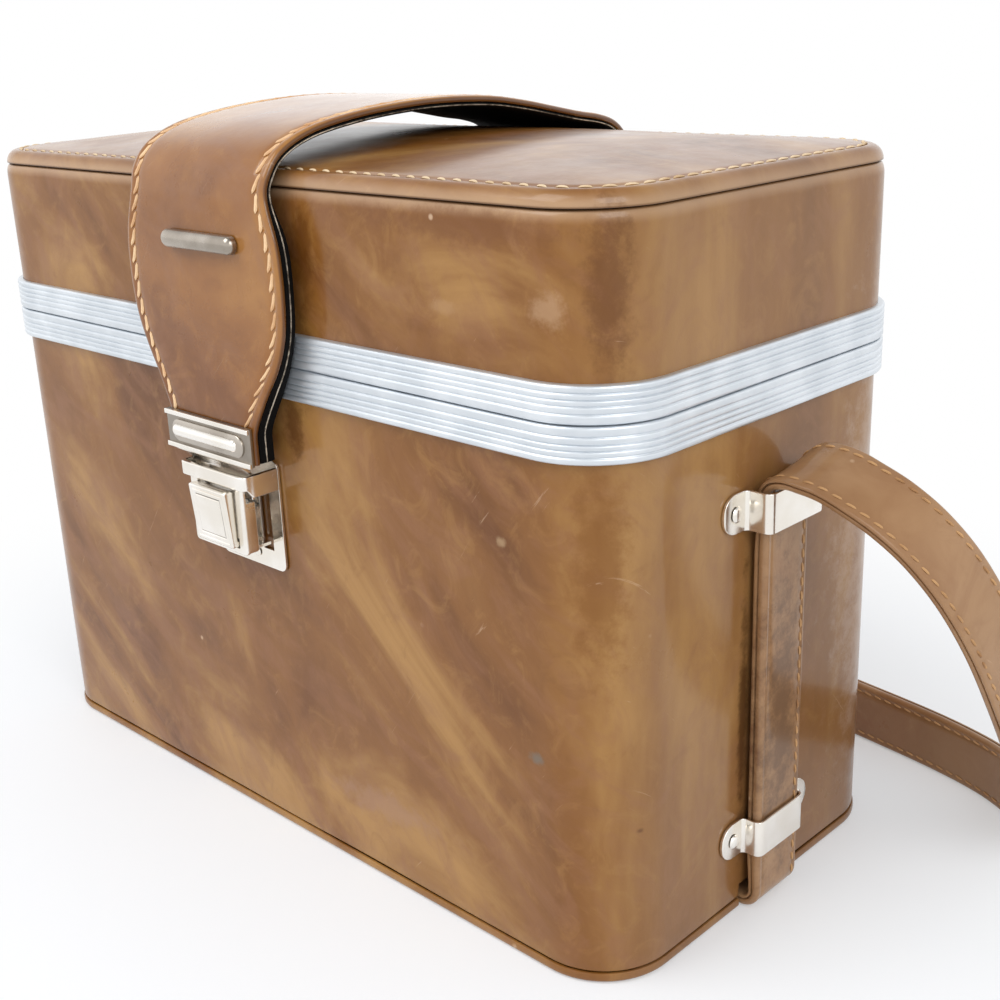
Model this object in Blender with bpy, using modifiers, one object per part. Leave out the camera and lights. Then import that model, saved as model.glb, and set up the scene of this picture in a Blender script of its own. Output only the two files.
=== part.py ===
"""Camera hard case: a covered board box with a hinged lid, ribbed metal valances and a tuck lock.

Frame: metres, +X to the right end, -Y to the front, +Z up, origin at the middle of the underside.
The lid is shut and its tongue stands in the lock, as when the case is put away.
"""
import math

import bmesh
import bpy
import numpy as np
from mathutils import Matrix, Vector

MM = 0.001

# Shared clearances and cutting allowances
GAP = 0.3 * MM
OVERRUN = 3 * MM
WELD = 0.01 * MM
CORNER_STEPS = 6
ROUND_STEPS = 12
LEVEL_SHARE = math.cos(math.pi / 4)

# Case walls
CASE_WIDTH = 330 * MM
CASE_DEPTH = 160 * MM
CORNER_RADIUS = 26 * MM
WALL = 4 * MM
SEAM_LEVEL = 184 * MM
LID_HEIGHT = 58.3 * MM
GROOVE_LEVEL = SEAM_LEVEL + LID_HEIGHT

# Bottom panel
BASE_RIM = 3.6 * MM
BASE_PLUG = 6 * MM
BASE_EDGE = 1.6 * MM

# Lid top panel
TOP_EDGE_RADIUS = 5 * MM
TOP_INSET = 0.5 * MM
TOP_PLUG = 4 * MM
CROWN_RISE = 5.2 * MM
CROWN_SHARES = (0.12, 0.3, 0.55, 0.8)
CROWN_CORNER_SHARE = 0.5

# Valances, the metal frames along the seam
VALANCE_HEIGHT = 11.3 * MM
VALANCE_STAND = 2.3 * MM
VALANCE_WEB = 1.2 * MM
VALANCE_LEG = 1 * MM
VALANCE_LEG_DEPTH = 5 * MM
VALANCE_BEAD = 0.8 * MM
GROOVE_HALF = 0.4 * MM
GROOVE_DEPTH = 0.5 * MM
VALANCE_GROOVE_SHARES = (0.27, 0.47, 0.63, 0.8)

# Linings, divider and its guides
LINING = 2.5 * MM
DIVIDER_X = 55 * MM
DIVIDER_THICKNESS = 6 * MM
DIVIDER_HEIGHT = 112 * MM
DIVIDER_EDGE = 1.5 * MM
GUIDE_WIDTH = 3 * MM
GUIDE_DEPTH = 7 * MM
GUIDE_WEB = 1.5 * MM
GUIDE_HEIGHT = 100 * MM

# Hinges
HINGE_X = 95 * MM
LEAF_WIDTH = 36 * MM
LEAF_RIM = 0.8 * MM
LEAF_THICKNESS = 1.2 * MM
KNUCKLE_RADIUS = 2.6 * MM
HINGE_PIN_RADIUS = 1.2 * MM
PIN_HEAD = 0.8 * MM
LEAF_RIVET_END = 6 * MM
LEAF_RIVET_EDGE = 3.5 * MM

# Rivets
RIVET_HEAD_RADIUS = 2.6 * MM
RIVET_HEAD_HEIGHT = 1.1 * MM
RIVET_SHANK_RADIUS = 1.2 * MM
RIVET_GRIP = 3 * MM
SMALL_HEAD_RADIUS = 1.7 * MM
SMALL_HEAD_HEIGHT = 0.7 * MM
SMALL_SHANK_RADIUS = 0.8 * MM

# Carry strap, a brown strap with a dark lining, raised over the lid as a handle
STRAP_STAND = 9.6 * MM
STRAP_OUTER = 2.2 * MM
STRAP_LINING = 1.4 * MM
STRAP_ARCH = 13 * MM
REAR_RISE = 19 * MM
BAR_DROP = 18.3 * MM
HANDLE_HALF = 40.5 * MM
FACE_HALF = 44 * MM
TAIL_HALF = 24 * MM
TAIL_STAND = 4.2 * MM
TAIL_LAP = 0.8 * MM
STRAP_STEP = 6 * MM
# Each row of the arch: y as a share of the strap's face, and height between groove and crest
ARCH_SHARES = (
    (-0.993, -0.14), (-0.969, 0.2), (-0.898, 0.51), (-0.759, 0.745), (-0.558, 0.892),
    (-0.335, 0.978), (-0.112, 1.0), (0.134, 0.953), (0.335, 0.84), (0.513, 0.703),
    (0.67, 0.582), (0.792, 0.504), (0.893, 0.384), (0.963, 0.172), (0.995, -0.142),
)
# Each row of the tail: height from tail end to bar, stand from face to tail, half width from tail to face
TAIL_SHARES = (
    (0.0, 1.0, 0.0), (0.08, 1.0, 0.0), (0.17, 0.95, 0.03), (0.32, 0.62, 0.33), (0.47, 0.24, 0.7),
    (0.62, 0.05, 0.93), (0.8, 0.0, 1.0), (1.0, 0.0, 0.95),
)

# Bars that pin the carry strap to the lid
BAR_LENGTH = 43 * MM
BAR_HEIGHT = 5 * MM
BAR_STAND = 5 * MM
BAR_POST_END = 7.5 * MM
BAR_POST_RADIUS = 1.5 * MM
BAR_POST_DEPTH = 3 * MM

# Lock on the body's front: the catch, from the wall out and from the seam down
LOCK_DROP = 67 * MM
CATCH_STAND = 14.6 * MM
CATCH_SHEET = 1.4 * MM
CATCH_CHEEK = 4.3 * MM
FLANGE = 1.2 * MM
FLANGE_DEPTH = 4.9 * MM
FLANGE_DROP = 1.2 * MM
FOOT_INSET = 3.2 * MM
BRIDGE_PROUD = 1.8 * MM
BRIDGE_DEPTH = 2.5 * MM
BRIDGE_HEIGHT = 5 * MM
BRIDGE_EDGE = 1.2 * MM
BRIDGE_LAP = 1 * MM
BRIDGE_OVERHANG = 3.5 * MM
CATCH_LEG = 1.7 * MM
CATCH_LEG_DROP = 3 * MM
WINDOW_RIM = 0.5 * MM
PLATE_THICKNESS = 1 * MM
PLATE_CORNER = 3 * MM
PLATE_SIDE = 0.2 * MM
PLATE_HEAD = 2.2 * MM
PLATE_SKIRT = 9.5 * MM
SLOT_INNER = 6.5 * MM
SLOT_WIDTH = 5.9 * MM
SLOT_SKIRT = 2.5 * MM
SLOT_LENGTH = 22.5 * MM
LOCK_RIVET_X = 3 * MM
LOCK_RIVET_RISE = 4.8 * MM

# Press button, its pivot and its spring
BUTTON_HALF = 10.5 * MM
BUTTON_HEIGHT = 20.9 * MM
BUTTON_TOP_PROUD = 4.4 * MM
BUTTON_FOOT_PROUD = 2.5 * MM
BUTTON_EDGE = 0.6 * MM
BUTTON_SIDE_GAP = 0.4 * MM
BUTTON_TOP_GAP = 0.8 * MM
BUTTON_FOOT_GAP = 0.9 * MM
BUTTON_PIN_RADIUS = 0.7 * MM
HUB_FOOT = 0.8 * MM
HUB_BACK = 0.4 * MM
HUB_HEAD = 1.3 * MM
SPRING_RISE = 10.7 * MM
SPRING_RADIUS = 2 * MM
SPRING_WIRE = 0.3 * MM
SPRING_TURNS = 5
SPRING_TURN_POINTS = 10

# Tongue on the strap's tail
TONGUE_SIDE = 0.2 * MM
TONGUE_SHEET = 1.3 * MM
TONGUE_HEIGHT = 13 * MM
TONGUE_RIM = 0.5 * MM
BLADE_SIDE_GAP = 0.8 * MM
BLADE_SWING = 2.2 * MM
BLADE_SHEET = 1.4 * MM
BLADE_REACH = 4.3 * MM
BOSS_LENGTH = 38 * MM
BOSS_HEIGHT = 6.4 * MM
BOSS_STAND = 2 * MM

# Shoulder strap and the brackets that hold it on both ends
SHOULDER_HALF = 12 * MM
SHOULDER_THICKNESS = 4 * MM
SHOULDER_STAND = 2.7 * MM
SHOULDER_BEND = 3 * MM
SHOULDER_END_LAP = 1.6 * MM
NOTCH_GAP = 1.2 * MM
CHANNEL_GAP = 1 * MM
BRACKET_SHEET = 1 * MM
BRACKET_HEIGHT = 13 * MM
BRACKET_EAR = 11.8 * MM
UPPER_BRACKET_DROP = 39 * MM
UPPER_BRACKET_SIDE = 3.4 * MM
UPPER_BRACKET_SLACK = 2.5 * MM
LOWER_BRACKET_Z = 29.2 * MM
LOWER_BRACKET_SIDE = 1.4 * MM
LOWER_BRACKET_SLACK = 0.4 * MM
LOOP_PARTS = 2
# Route of the free loop's right half, from inside the upper bracket to behind the case, and the
# lean of its width from level towards upright, in degrees
LOOP_ROUTE = (
    ((169.7, 0, 147.1), 0), ((169.9, 0, 150.8), 2), ((172.6, 0, 154.6), 9), ((178.5, 0.3, 157.0), 18),
    ((187, 1, 156.2), 21), ((196, 2.5, 152.4), 22), ((205, 5, 147), 24), ((214, 9, 138.5), 27),
    ((222, 15, 126), 32), ((228, 23, 109.5), 38), ((231.5, 33, 90), 46), ((233, 45, 69), 56),
    ((232, 58, 48), 66), ((228.5, 72, 31), 76), ((221.5, 86, 19.5), 84), ((210, 98, 14), 88),
    ((194, 107, 12.6), 90), ((172, 113, 12.4), 90), ((140, 118, 12.4), 90), ((95, 123.5, 12.4), 90),
    ((45, 127.5, 12.4), 90), ((0, 129, 12.4), 90),
)

# Derived places: the case
HALF_WIDTH = CASE_WIDTH / 2
HALF_DEPTH = CASE_DEPTH / 2
BODY_TOP = SEAM_LEVEL - GAP / 2 - VALANCE_WEB - GAP
LID_LOW = SEAM_LEVEL + GAP / 2 + VALANCE_WEB + GAP
BASE_TOP = BASE_RIM + BASE_PLUG
FLOOR_LEVEL = BASE_TOP + GAP + LINING
LID_CEILING = GROOVE_LEVEL - TOP_PLUG
VALANCE_FACE_Y = HALF_DEPTH + VALANCE_STAND
HINGE_Y = VALANCE_FACE_Y + GAP + KNUCKLE_RADIUS
LEAF_HEIGHT = VALANCE_HEIGHT - LEAF_RIM

# Derived places: the carry strap
STRAP_FACE_Y = HALF_DEPTH + STRAP_STAND
TAIL_FACE_Y = STRAP_FACE_Y + TAIL_STAND
STRAP_CREST = GROOVE_LEVEL + TOP_EDGE_RADIUS + CROWN_RISE + STRAP_ARCH
BAR_LEVEL = GROOVE_LEVEL - BAR_DROP
REAR_END = SEAM_LEVEL + REAR_RISE
BAR_POST_X = BAR_LENGTH / 2 - BAR_POST_END
BAR_GRIP = STRAP_STAND + BAR_POST_DEPTH

# Derived places: the lock, as stands in front of the middle of the case and as heights
PLATE_FRONT_Y = HALF_DEPTH + GAP + PLATE_THICKNESS
CATCH_FRONT_Y = HALF_DEPTH + CATCH_STAND
CATCH_BACK_Y = CATCH_FRONT_Y - CATCH_SHEET
BRIDGE_FRONT_Y = CATCH_FRONT_Y + BRIDGE_PROUD
BUTTON_TOP_Y = CATCH_FRONT_Y + BUTTON_TOP_PROUD
BUTTON_FOOT_Y = CATCH_FRONT_Y + BUTTON_FOOT_PROUD
BUTTON_BACK_Y = CATCH_BACK_Y + GAP
BUTTON_PIN_Y = CATCH_BACK_Y - GAP - BUTTON_PIN_RADIUS
BUTTON_HUB_Y = BUTTON_PIN_Y - BUTTON_PIN_RADIUS - GAP - HUB_BACK
BLADE_FRONT_Y = CATCH_BACK_Y - BLADE_SWING
TONGUE_FRONT_Y = TAIL_FACE_Y + GAP + TONGUE_SHEET
CATCH_HALF = BUTTON_HALF + BUTTON_SIDE_GAP + CATCH_CHEEK
BRIDGE_HALF = CATCH_HALF + BRIDGE_OVERHANG
BLADE_HALF = BRIDGE_HALF - CATCH_LEG - BLADE_SIDE_GAP
PLATE_HALF = BRIDGE_HALF - PLATE_SIDE
CATCH_LOW = SEAM_LEVEL - LOCK_DROP
BUTTON_LOW = CATCH_LOW + CATCH_SHEET + BUTTON_FOOT_GAP
BUTTON_HIGH = BUTTON_LOW + BUTTON_HEIGHT
BUTTON_PIN_Z = BUTTON_LOW + HUB_FOOT + GAP + BUTTON_PIN_RADIUS
BUTTON_HUB_HIGH = BUTTON_PIN_Z + BUTTON_PIN_RADIUS + GAP + HUB_HEAD
BRIDGE_LOW = BUTTON_HIGH + BUTTON_TOP_GAP + WINDOW_RIM
BRIDGE_HIGH = BRIDGE_LOW + BRIDGE_HEIGHT
BLADE_TIP = BRIDGE_LOW - BLADE_REACH
BLADE_SHOULDER = BRIDGE_HIGH - GAP
TONGUE_FOLD = BLADE_SHOULDER + TONGUE_FRONT_Y - BLADE_FRONT_Y
TAIL_END = TONGUE_FOLD + TAIL_LAP
TONGUE_TOP = TAIL_END + TONGUE_HEIGHT
PLATE_LOW = CATCH_LOW - PLATE_SKIRT
PLATE_HIGH = BRIDGE_HIGH + PLATE_HEAD
SLOT_LOW = CATCH_LOW - SLOT_SKIRT
SPRING_LEVEL = BUTTON_LOW + SPRING_RISE

# Derived places: the shoulder strap
SHOULDER_X = HALF_WIDTH + SHOULDER_STAND + SHOULDER_THICKNESS / 2
NOTCH_HIGH = GAP + SHOULDER_THICKNESS + SHOULDER_BEND + NOTCH_GAP
BRACKET_REACH = SHOULDER_STAND + SHOULDER_THICKNESS + BRACKET_SHEET
# Each bracket's half width, how far it stands off the wall, and its level
BRACKETS = {
    "upper": (
        SHOULDER_HALF + UPPER_BRACKET_SIDE,
        BRACKET_REACH + UPPER_BRACKET_SLACK,
        SEAM_LEVEL - UPPER_BRACKET_DROP,
    ),
    "lower": (SHOULDER_HALF + LOWER_BRACKET_SIDE, BRACKET_REACH + LOWER_BRACKET_SLACK, LOWER_BRACKET_Z),
}
SHOULDER_RUN_END = SEAM_LEVEL - UPPER_BRACKET_DROP + SHOULDER_END_LAP

# The lock stands out further than the rear bar, so the case sits back from the origin's middle
CASE_Y = (BUTTON_TOP_Y - STRAP_FACE_Y - BAR_STAND) / 2

# Finishes: colour, metallic, roughness
BROWN = ((0.34, 0.18, 0.075), 0.0, 0.42)
DARK_BROWN = ((0.2, 0.1, 0.045), 0.0, 0.5)
BLACK = ((0.012, 0.012, 0.014), 0.0, 0.8)
NICKEL = ((0.72, 0.69, 0.62), 1.0, 0.22)
ALUMINIUM = ((0.82, 0.84, 0.86), 1.0, 0.28)
STEEL = ((0.5, 0.5, 0.5), 1.0, 0.35)
VELVET = ((0.13, 0.02, 0.025), 0.0, 0.95)

for old in list(bpy.data.objects):
    bpy.data.objects.remove(old, do_unlink=True)

PARTS = bpy.data.collections.new("camera_hard_case")
CUTTERS = bpy.data.collections.new("cutters")
for made in (PARTS, CUTTERS):
    bpy.context.scene.collection.children.link(made)


def axis_empty(name, place, parent=None):
    """An empty on a joint's axis, which carries the pieces that move with the joint."""
    empty = bpy.data.objects.new(name, None)
    empty.empty_display_size = CORNER_RADIUS
    PARTS.objects.link(empty)
    empty.location = place
    if parent:
        empty.parent = parent
        empty.matrix_parent_inverse = Matrix.Translation(parent.location).inverted()
    return empty


def finish_material(name, finish):
    colour, metallic, roughness = finish
    material = bpy.data.materials.new(name + "_finish")
    material.use_nodes = True
    shader = material.node_tree.nodes["Principled BSDF"]
    shader.inputs["Base Color"].default_value = (*colour, 1.0)
    shader.inputs["Metallic"].default_value = metallic
    shader.inputs["Roughness"].default_value = roughness
    return material


def add_part(name, mesh, finish, carrier, smooth=True):
    """A named piece from a mesh in world places, carried by the empty of its body."""
    piece = bpy.data.objects.new(name, mesh)
    mesh.name = name
    mesh.materials.clear()
    mesh.materials.append(finish_material(name, finish))
    PARTS.objects.link(piece)
    if smooth:
        mesh.shade_smooth()
        mesh.set_sharp_from_angle(angle=math.radians(30))
    piece.parent = carrier
    piece.matrix_parent_inverse = Matrix.Translation(carrier.location).inverted()
    return piece


def add_cutter(name, mesh):
    """A guide that cuts or joins its piece; it follows the case, and isn't part of the object."""
    cutter = bpy.data.objects.new(name, mesh)
    CUTTERS.objects.link(cutter)
    cutter.parent = CASE
    cutter.hide_render = True
    cutter.display_type = "WIRE"
    return cutter


def boolean(piece, cutter, operation="DIFFERENCE"):
    step = piece.modifiers.new(operation.lower(), "BOOLEAN")
    step.operation = operation
    step.solver = "EXACT"
    step.object = cutter


def mesh_of(bm):
    mesh = bpy.data.meshes.new("shape")
    bm.to_mesh(mesh)
    bm.free()
    return mesh


def evaluated_mesh(source):
    """The mesh of an object with its modifiers, welded; the object is removed."""
    bpy.context.view_layer.update()
    graph = bpy.context.evaluated_depsgraph_get()
    mesh = bpy.data.meshes.new_from_object(source.evaluated_get(graph))
    mesh.transform(source.matrix_world)
    bm = bmesh.new()
    bm.from_mesh(mesh)
    bmesh.ops.remove_doubles(bm, verts=bm.verts, dist=WELD)
    bm.to_mesh(mesh)
    bm.free()
    bpy.data.objects.remove(source, do_unlink=True)
    return mesh


def box_into(bm, low, high):
    """Adds the box between two corners."""
    low, high = Vector(low), Vector(high)
    place = Matrix.Translation((low + high) / 2) @ Matrix.Diagonal((*(high - low), 1.0))
    return bmesh.ops.create_cube(bm, size=1.0, matrix=place)["verts"]


def box_mesh(*corners):
    """One or more boxes, each a pair of corners."""
    bm = bmesh.new()
    for low, high in corners:
        box_into(bm, low, high)
    return mesh_of(bm)


def cylinder_into(bm, start, direction, length, radius):
    """Adds a capped cylinder from a point along a direction."""
    direction = Vector(direction).normalized()
    turn = Vector((0, 0, 1)).rotation_difference(direction).to_matrix().to_4x4()
    place = Matrix.Translation(Vector(start) + direction * length / 2) @ turn
    bmesh.ops.create_cone(
        bm, cap_ends=True, segments=ROUND_STEPS, radius1=radius, radius2=radius, depth=length, matrix=place
    )


def rounded_outline(width, depth, radius):
    """Corner arcs of a rounded rectangle, anticlockwise."""
    points = []
    for turn, (sx, sy) in enumerate(((1, 1), (-1, 1), (-1, -1), (1, -1))):
        for step in range(CORNER_STEPS + 1):
            angle = math.pi / 2 * (turn + step / CORNER_STEPS)
            x = sx * (width / 2 - radius) + radius * math.cos(angle)
            y = sy * (depth / 2 - radius) + radius * math.sin(angle)
            points.append((x, y))
    return points


def flat_solid(points, low, high):
    """An outline in the XY plane filled and extruded between two heights, as a mesh."""
    curve = bpy.data.curves.new("outline", "CURVE")
    curve.dimensions = "2D"
    curve.fill_mode = "BOTH"
    curve.extrude = (high - low) / 2
    spline = curve.splines.new("POLY")
    spline.points.add(len(points) - 1)
    for point, (x, y) in zip(spline.points, points):
        point.co = (x, y, 0, 1)
    spline.use_cyclic_u = True
    outline = bpy.data.objects.new("outline", curve)
    PARTS.objects.link(outline)
    outline.location.z = (low + high) / 2
    return evaluated_mesh(outline)


def side_solid(points, low_x, high_x):
    """An outline given as (y, z) points, extruded along X between two places."""
    mesh = flat_solid(points, low_x, high_x)
    mesh.transform(Matrix(((0, 0, 1, 0), (1, 0, 0, 0), (0, 1, 0, 0), (0, 0, 0, 1))))
    return mesh


def rounded_slab(width, depth, radius, low, high):
    return flat_solid(rounded_outline(width, depth, radius), low, high)


def open_band(width, depth, radius, low, high, keep_low=False, keep_high=False):
    """The walls of a rounded box, open at the ends that aren't kept, to be given a thickness."""
    bm = bmesh.new()
    bm.from_mesh(rounded_slab(width, depth, radius, low, high))
    bm.normal_update()
    drop = [
        f for f in bm.faces
        if (f.normal.z > LEVEL_SHARE and not keep_high) or (f.normal.z < -LEVEL_SHARE and not keep_low)
    ]
    bmesh.ops.delete(bm, geom=drop, context="FACES")
    return mesh_of(bm)


def thicken(piece, thickness, offset=-1.0):
    step = piece.modifiers.new("wall", "SOLIDIFY")
    step.thickness = thickness
    step.offset = offset
    step.use_even_offset = True


def round_edges(piece, width, segments=2, angle=40.0):
    step = piece.modifiers.new("edges", "BEVEL")
    step.width = width
    step.segments = segments
    step.limit_method = "ANGLE"
    step.angle_limit = math.radians(angle)


def turned_mesh(profile):
    """A profile of (radius, height) points, from the top down its outer side, turned about Z."""
    bm = bmesh.new()
    verts = [bm.verts.new((radius, 0, height)) for radius, height in profile]
    for first, second in zip(verts, verts[1:]):
        bm.edges.new((first, second))
    turned = bpy.data.objects.new("turned", mesh_of(bm))
    PARTS.objects.link(turned)
    screw = turned.modifiers.new("turn", "SCREW")
    screw.steps = ROUND_STEPS
    screw.render_steps = ROUND_STEPS
    screw.use_merge_vertices = True
    screw.merge_threshold = WELD
    return evaluated_mesh(turned)


def pointing(place, direction):
    turn = Vector((0, 0, 1)).rotation_difference(Vector(direction).normalized())
    return Matrix.Translation(place) @ turn.to_matrix().to_4x4()


def add_rivets(name, shape, seats, carrier):
    """A rivet for each seat, all from one shape."""
    for number, seat in enumerate(seats, 1):
        mesh = shape.copy()
        mesh.transform(seat)
        add_part(f"{name}_{number}", mesh, NICKEL, carrier)


def rivet_shape(head_radius, head_height, shank_radius, grip):
    """A domed rivet: its head's seat is at height zero, and its shank goes down."""
    dome = [
        (head_radius * math.sin(angle), GAP + head_height * math.cos(angle))
        for angle in np.linspace(0, math.pi / 2, 4)
    ]
    return turned_mesh([*dome, (head_radius, GAP), (shank_radius, GAP), (shank_radius, -grip), (0, -grip)])


def hole_cutter(name, seats, radius, grip):
    """Round cutters for rivets that are seated at matrices, deep enough for their shanks."""
    bm = bmesh.new()
    for seat in seats:
        direction = seat.to_3x3() @ Vector((0, 0, 1))
        start = seat.translation - direction * (grip + GAP)
        cylinder_into(bm, start, direction, grip + GAP + OVERRUN, radius + GAP)
    return add_cutter(name, mesh_of(bm))


def curve_through(points, parts):
    """A Catmull-Rom curve through the given rows, with so many parts between each two of them."""
    rows = np.array(points, float)
    ends = np.vstack([2 * rows[0] - rows[1], rows, 2 * rows[-1] - rows[-2]])
    share = np.linspace(0, 1, parts, endpoint=False)[:, None]
    pieces = []
    for a, b, c, d in zip(ends, ends[1:], ends[2:], ends[3:]):
        bend = 2 * a - 5 * b + 4 * c - d
        cubic = 3 * b - a - 3 * c + d
        pieces.append((2 * b + (c - a) * share + bend * share**2 + cubic * share**3) / 2)
    return np.vstack([*pieces, rows[-1:]])


def even_route(points, step):
    """Points about a step apart along the curve through the given rows."""
    dense = curve_through(points, ROUND_STEPS)
    along = np.concatenate([[0], np.cumsum(np.linalg.norm(np.diff(dense[:, :3], axis=0), axis=1))])
    places = np.linspace(0, along[-1], max(2, math.ceil(along[-1] / step) + 1))
    return np.stack([np.interp(places, along, column) for column in dense.T], axis=1)


def ribbon_mesh(centres, sides, halves):
    """An open strip that runs along the centres, as wide as the halves on both sides of them."""
    bm = bmesh.new()
    bmesh.ops.create_grid(bm, x_segments=len(centres) - 1, y_segments=2, size=0.5)
    bm.verts.ensure_lookup_table()
    last = len(centres) - 1
    for vert in bm.verts:
        station = round((vert.co.x + 0.5) * last)
        across = round(vert.co.y * 2)
        vert.co = Vector(centres[station]) + Vector(sides[station]) * float(halves[station]) * across
    return mesh_of(bm)


def route_tangents(points):
    tangents = np.gradient(points, axis=0)
    return tangents / np.linalg.norm(tangents, axis=1)[:, None]


CASE = axis_empty("case_carrier", (0, 0, 0))
LID = axis_empty("lid_hinge_axis", (0, HINGE_Y, SEAM_LEVEL), CASE)
BUTTON = axis_empty("button_axis", (0, -BUTTON_PIN_Y, BUTTON_PIN_Z), CASE)
DIVIDER = axis_empty("divider_carrier", (DIVIDER_X, 0, FLOOR_LEVEL), CASE)


def bracket_seats(side):
    """Where the rivets of one end's two brackets sit, on the brackets' ears."""
    seats = []
    for half, _, level in BRACKETS.values():
        for ear in (-1, 1):
            y = ear * (half + BRACKET_EAR - BRACKET_HEIGHT / 2)
            x = side * (HALF_WIDTH + GAP + BRACKET_SHEET)
            seats.append(pointing((x, y, level), (side, 0, 0)))
    return seats


def leaf_seats(towards):
    """Where the rivets of both hinges' leaves sit: below the seam for -1, above it for 1."""
    y = VALANCE_FACE_Y + GAP + LEAF_THICKNESS
    level = SEAM_LEVEL + towards * (LEAF_HEIGHT - LEAF_RIVET_EDGE)
    reach = LEAF_WIDTH / 2 - LEAF_RIVET_END
    return [
        pointing((side * HINGE_X + end * reach, y, level), (0, 1, 0))
        for side in (-1, 1)
        for end in (-1, 1)
    ]


def lock_seats():
    return [
        pointing((end * LOCK_RIVET_X, -PLATE_FRONT_Y, PLATE_LOW + LOCK_RIVET_RISE), (0, -1, 0))
        for end in (-1, 1)
    ]


def bar_seats(towards):
    """Where the two posts of a strap bar meet the strap's face: -1 in front, 1 behind."""
    return [
        pointing((end * BAR_POST_X, towards * STRAP_FACE_Y, BAR_LEVEL), (0, towards, 0)) for end in (-1, 1)
    ]


def make_case_walls():
    """The body's walls, with notches where the shoulder strap turns under and holes for rivets."""
    body = add_part(
        "body_shell",
        open_band(CASE_WIDTH, CASE_DEPTH, CORNER_RADIUS, BASE_RIM + GAP, BODY_TOP),
        BROWN, CASE,
    )
    thicken(body, WALL)
    half = SHOULDER_HALF + CHANNEL_GAP
    low = (-HALF_WIDTH - OVERRUN, -half, -OVERRUN)
    boolean(body, add_cutter("strap_notch", box_mesh((low, (HALF_WIDTH + OVERRUN, half, NOTCH_HIGH)))))
    seats = bracket_seats(-1) + bracket_seats(1)
    boolean(body, hole_cutter("bracket_holes", seats, RIVET_SHANK_RADIUS, RIVET_GRIP + BRACKET_SHEET))
    boolean(body, hole_cutter("lock_holes", lock_seats(), SMALL_SHANK_RADIUS, RIVET_GRIP))

    lid = add_part(
        "lid_shell",
        open_band(CASE_WIDTH, CASE_DEPTH, CORNER_RADIUS, LID_LOW, GROOVE_LEVEL - GAP),
        BROWN, LID,
    )
    thicken(lid, WALL)
    for towards, name in ((-1, "front"), (1, "rear")):
        boolean(lid, hole_cutter(name + "_post_holes", bar_seats(towards), BAR_POST_RADIUS, BAR_GRIP))


def make_bottom_panel():
    """The bottom board: a rim under the walls and a plug between them, with the strap's channel."""
    bm = bmesh.new()
    bm.from_mesh(rounded_slab(CASE_WIDTH, CASE_DEPTH, CORNER_RADIUS, 0, BASE_RIM))
    edges = [e for e in bm.edges if all(v.co.z < WELD for v in e.verts) and not e.is_boundary]
    outer = [e for e in edges if any(abs(f.normal.z) < LEVEL_SHARE for f in e.link_faces)]
    bmesh.ops.bevel(bm, geom=outer, offset=BASE_EDGE, segments=2, profile=0.5, affect="EDGES")
    panel = add_part("bottom_panel", mesh_of(bm), DARK_BROWN, CASE)
    inset = WALL + GAP
    plug = rounded_slab(
        CASE_WIDTH - 2 * inset, CASE_DEPTH - 2 * inset, CORNER_RADIUS - inset, BASE_RIM / 2, BASE_TOP
    )
    boolean(panel, add_cutter("bottom_plug", plug), "UNION")
    half = SHOULDER_HALF + CHANNEL_GAP
    roof = GAP + SHOULDER_THICKNESS + GAP
    low = (-HALF_WIDTH - OVERRUN, -half, -OVERRUN)
    boolean(panel, add_cutter("strap_channel", box_mesh((low, (HALF_WIDTH + OVERRUN, half, roof)))))


def loft_mesh(rings, closed):
    """Faces between rings of as many points each; a closed loft joins the last ring to the first."""
    bm = bmesh.new()
    rows = [[bm.verts.new(place) for place in ring] for ring in rings]
    for low, high in zip(rows, rows[1:] + rows[:closed]):
        for here in range(len(low)):
            following = (here + 1) % len(low)
            bm.faces.new((low[here], low[following], high[following], high[here]))
    if not closed:
        bm.faces.new(rows[0][::-1])
        bm.faces.new(rows[-1])
    bmesh.ops.recalc_face_normals(bm, faces=bm.faces)
    return mesh_of(bm)


def case_ring(out, level, radius):
    """The case's outline moved out by a distance, or in where that is negative."""
    around = rounded_outline(CASE_WIDTH + 2 * out, CASE_DEPTH + 2 * out, radius)
    return [(x, y, level) for x, y in around]


def make_lid_top():
    """The lid's top panel: a plug, a rounded edge above the groove and a low crown, as one loft."""
    inset = WALL + GAP
    rings = [case_ring(-inset, level, CORNER_RADIUS - inset) for level in (LID_CEILING, GROOVE_LEVEL)]
    for angle in np.linspace(0, math.pi / 2, 5):
        out = -TOP_INSET - TOP_EDGE_RADIUS * (1 - math.cos(angle))
        level = GROOVE_LEVEL + TOP_EDGE_RADIUS * math.sin(angle)
        rings.append(case_ring(out, level, CORNER_RADIUS + out))
    rim = TOP_INSET + TOP_EDGE_RADIUS
    for share in CROWN_SHARES:
        out = -rim - share * (HALF_DEPTH - rim)
        level = GROOVE_LEVEL + TOP_EDGE_RADIUS + CROWN_RISE * (1 - (1 - share) ** 2)
        rings.append(case_ring(out, level, (CORNER_RADIUS - rim) * (1 - CROWN_CORNER_SHARE * share)))
    add_part("lid_top_panel", loft_mesh(rings, closed=False), BROWN, LID)


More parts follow.
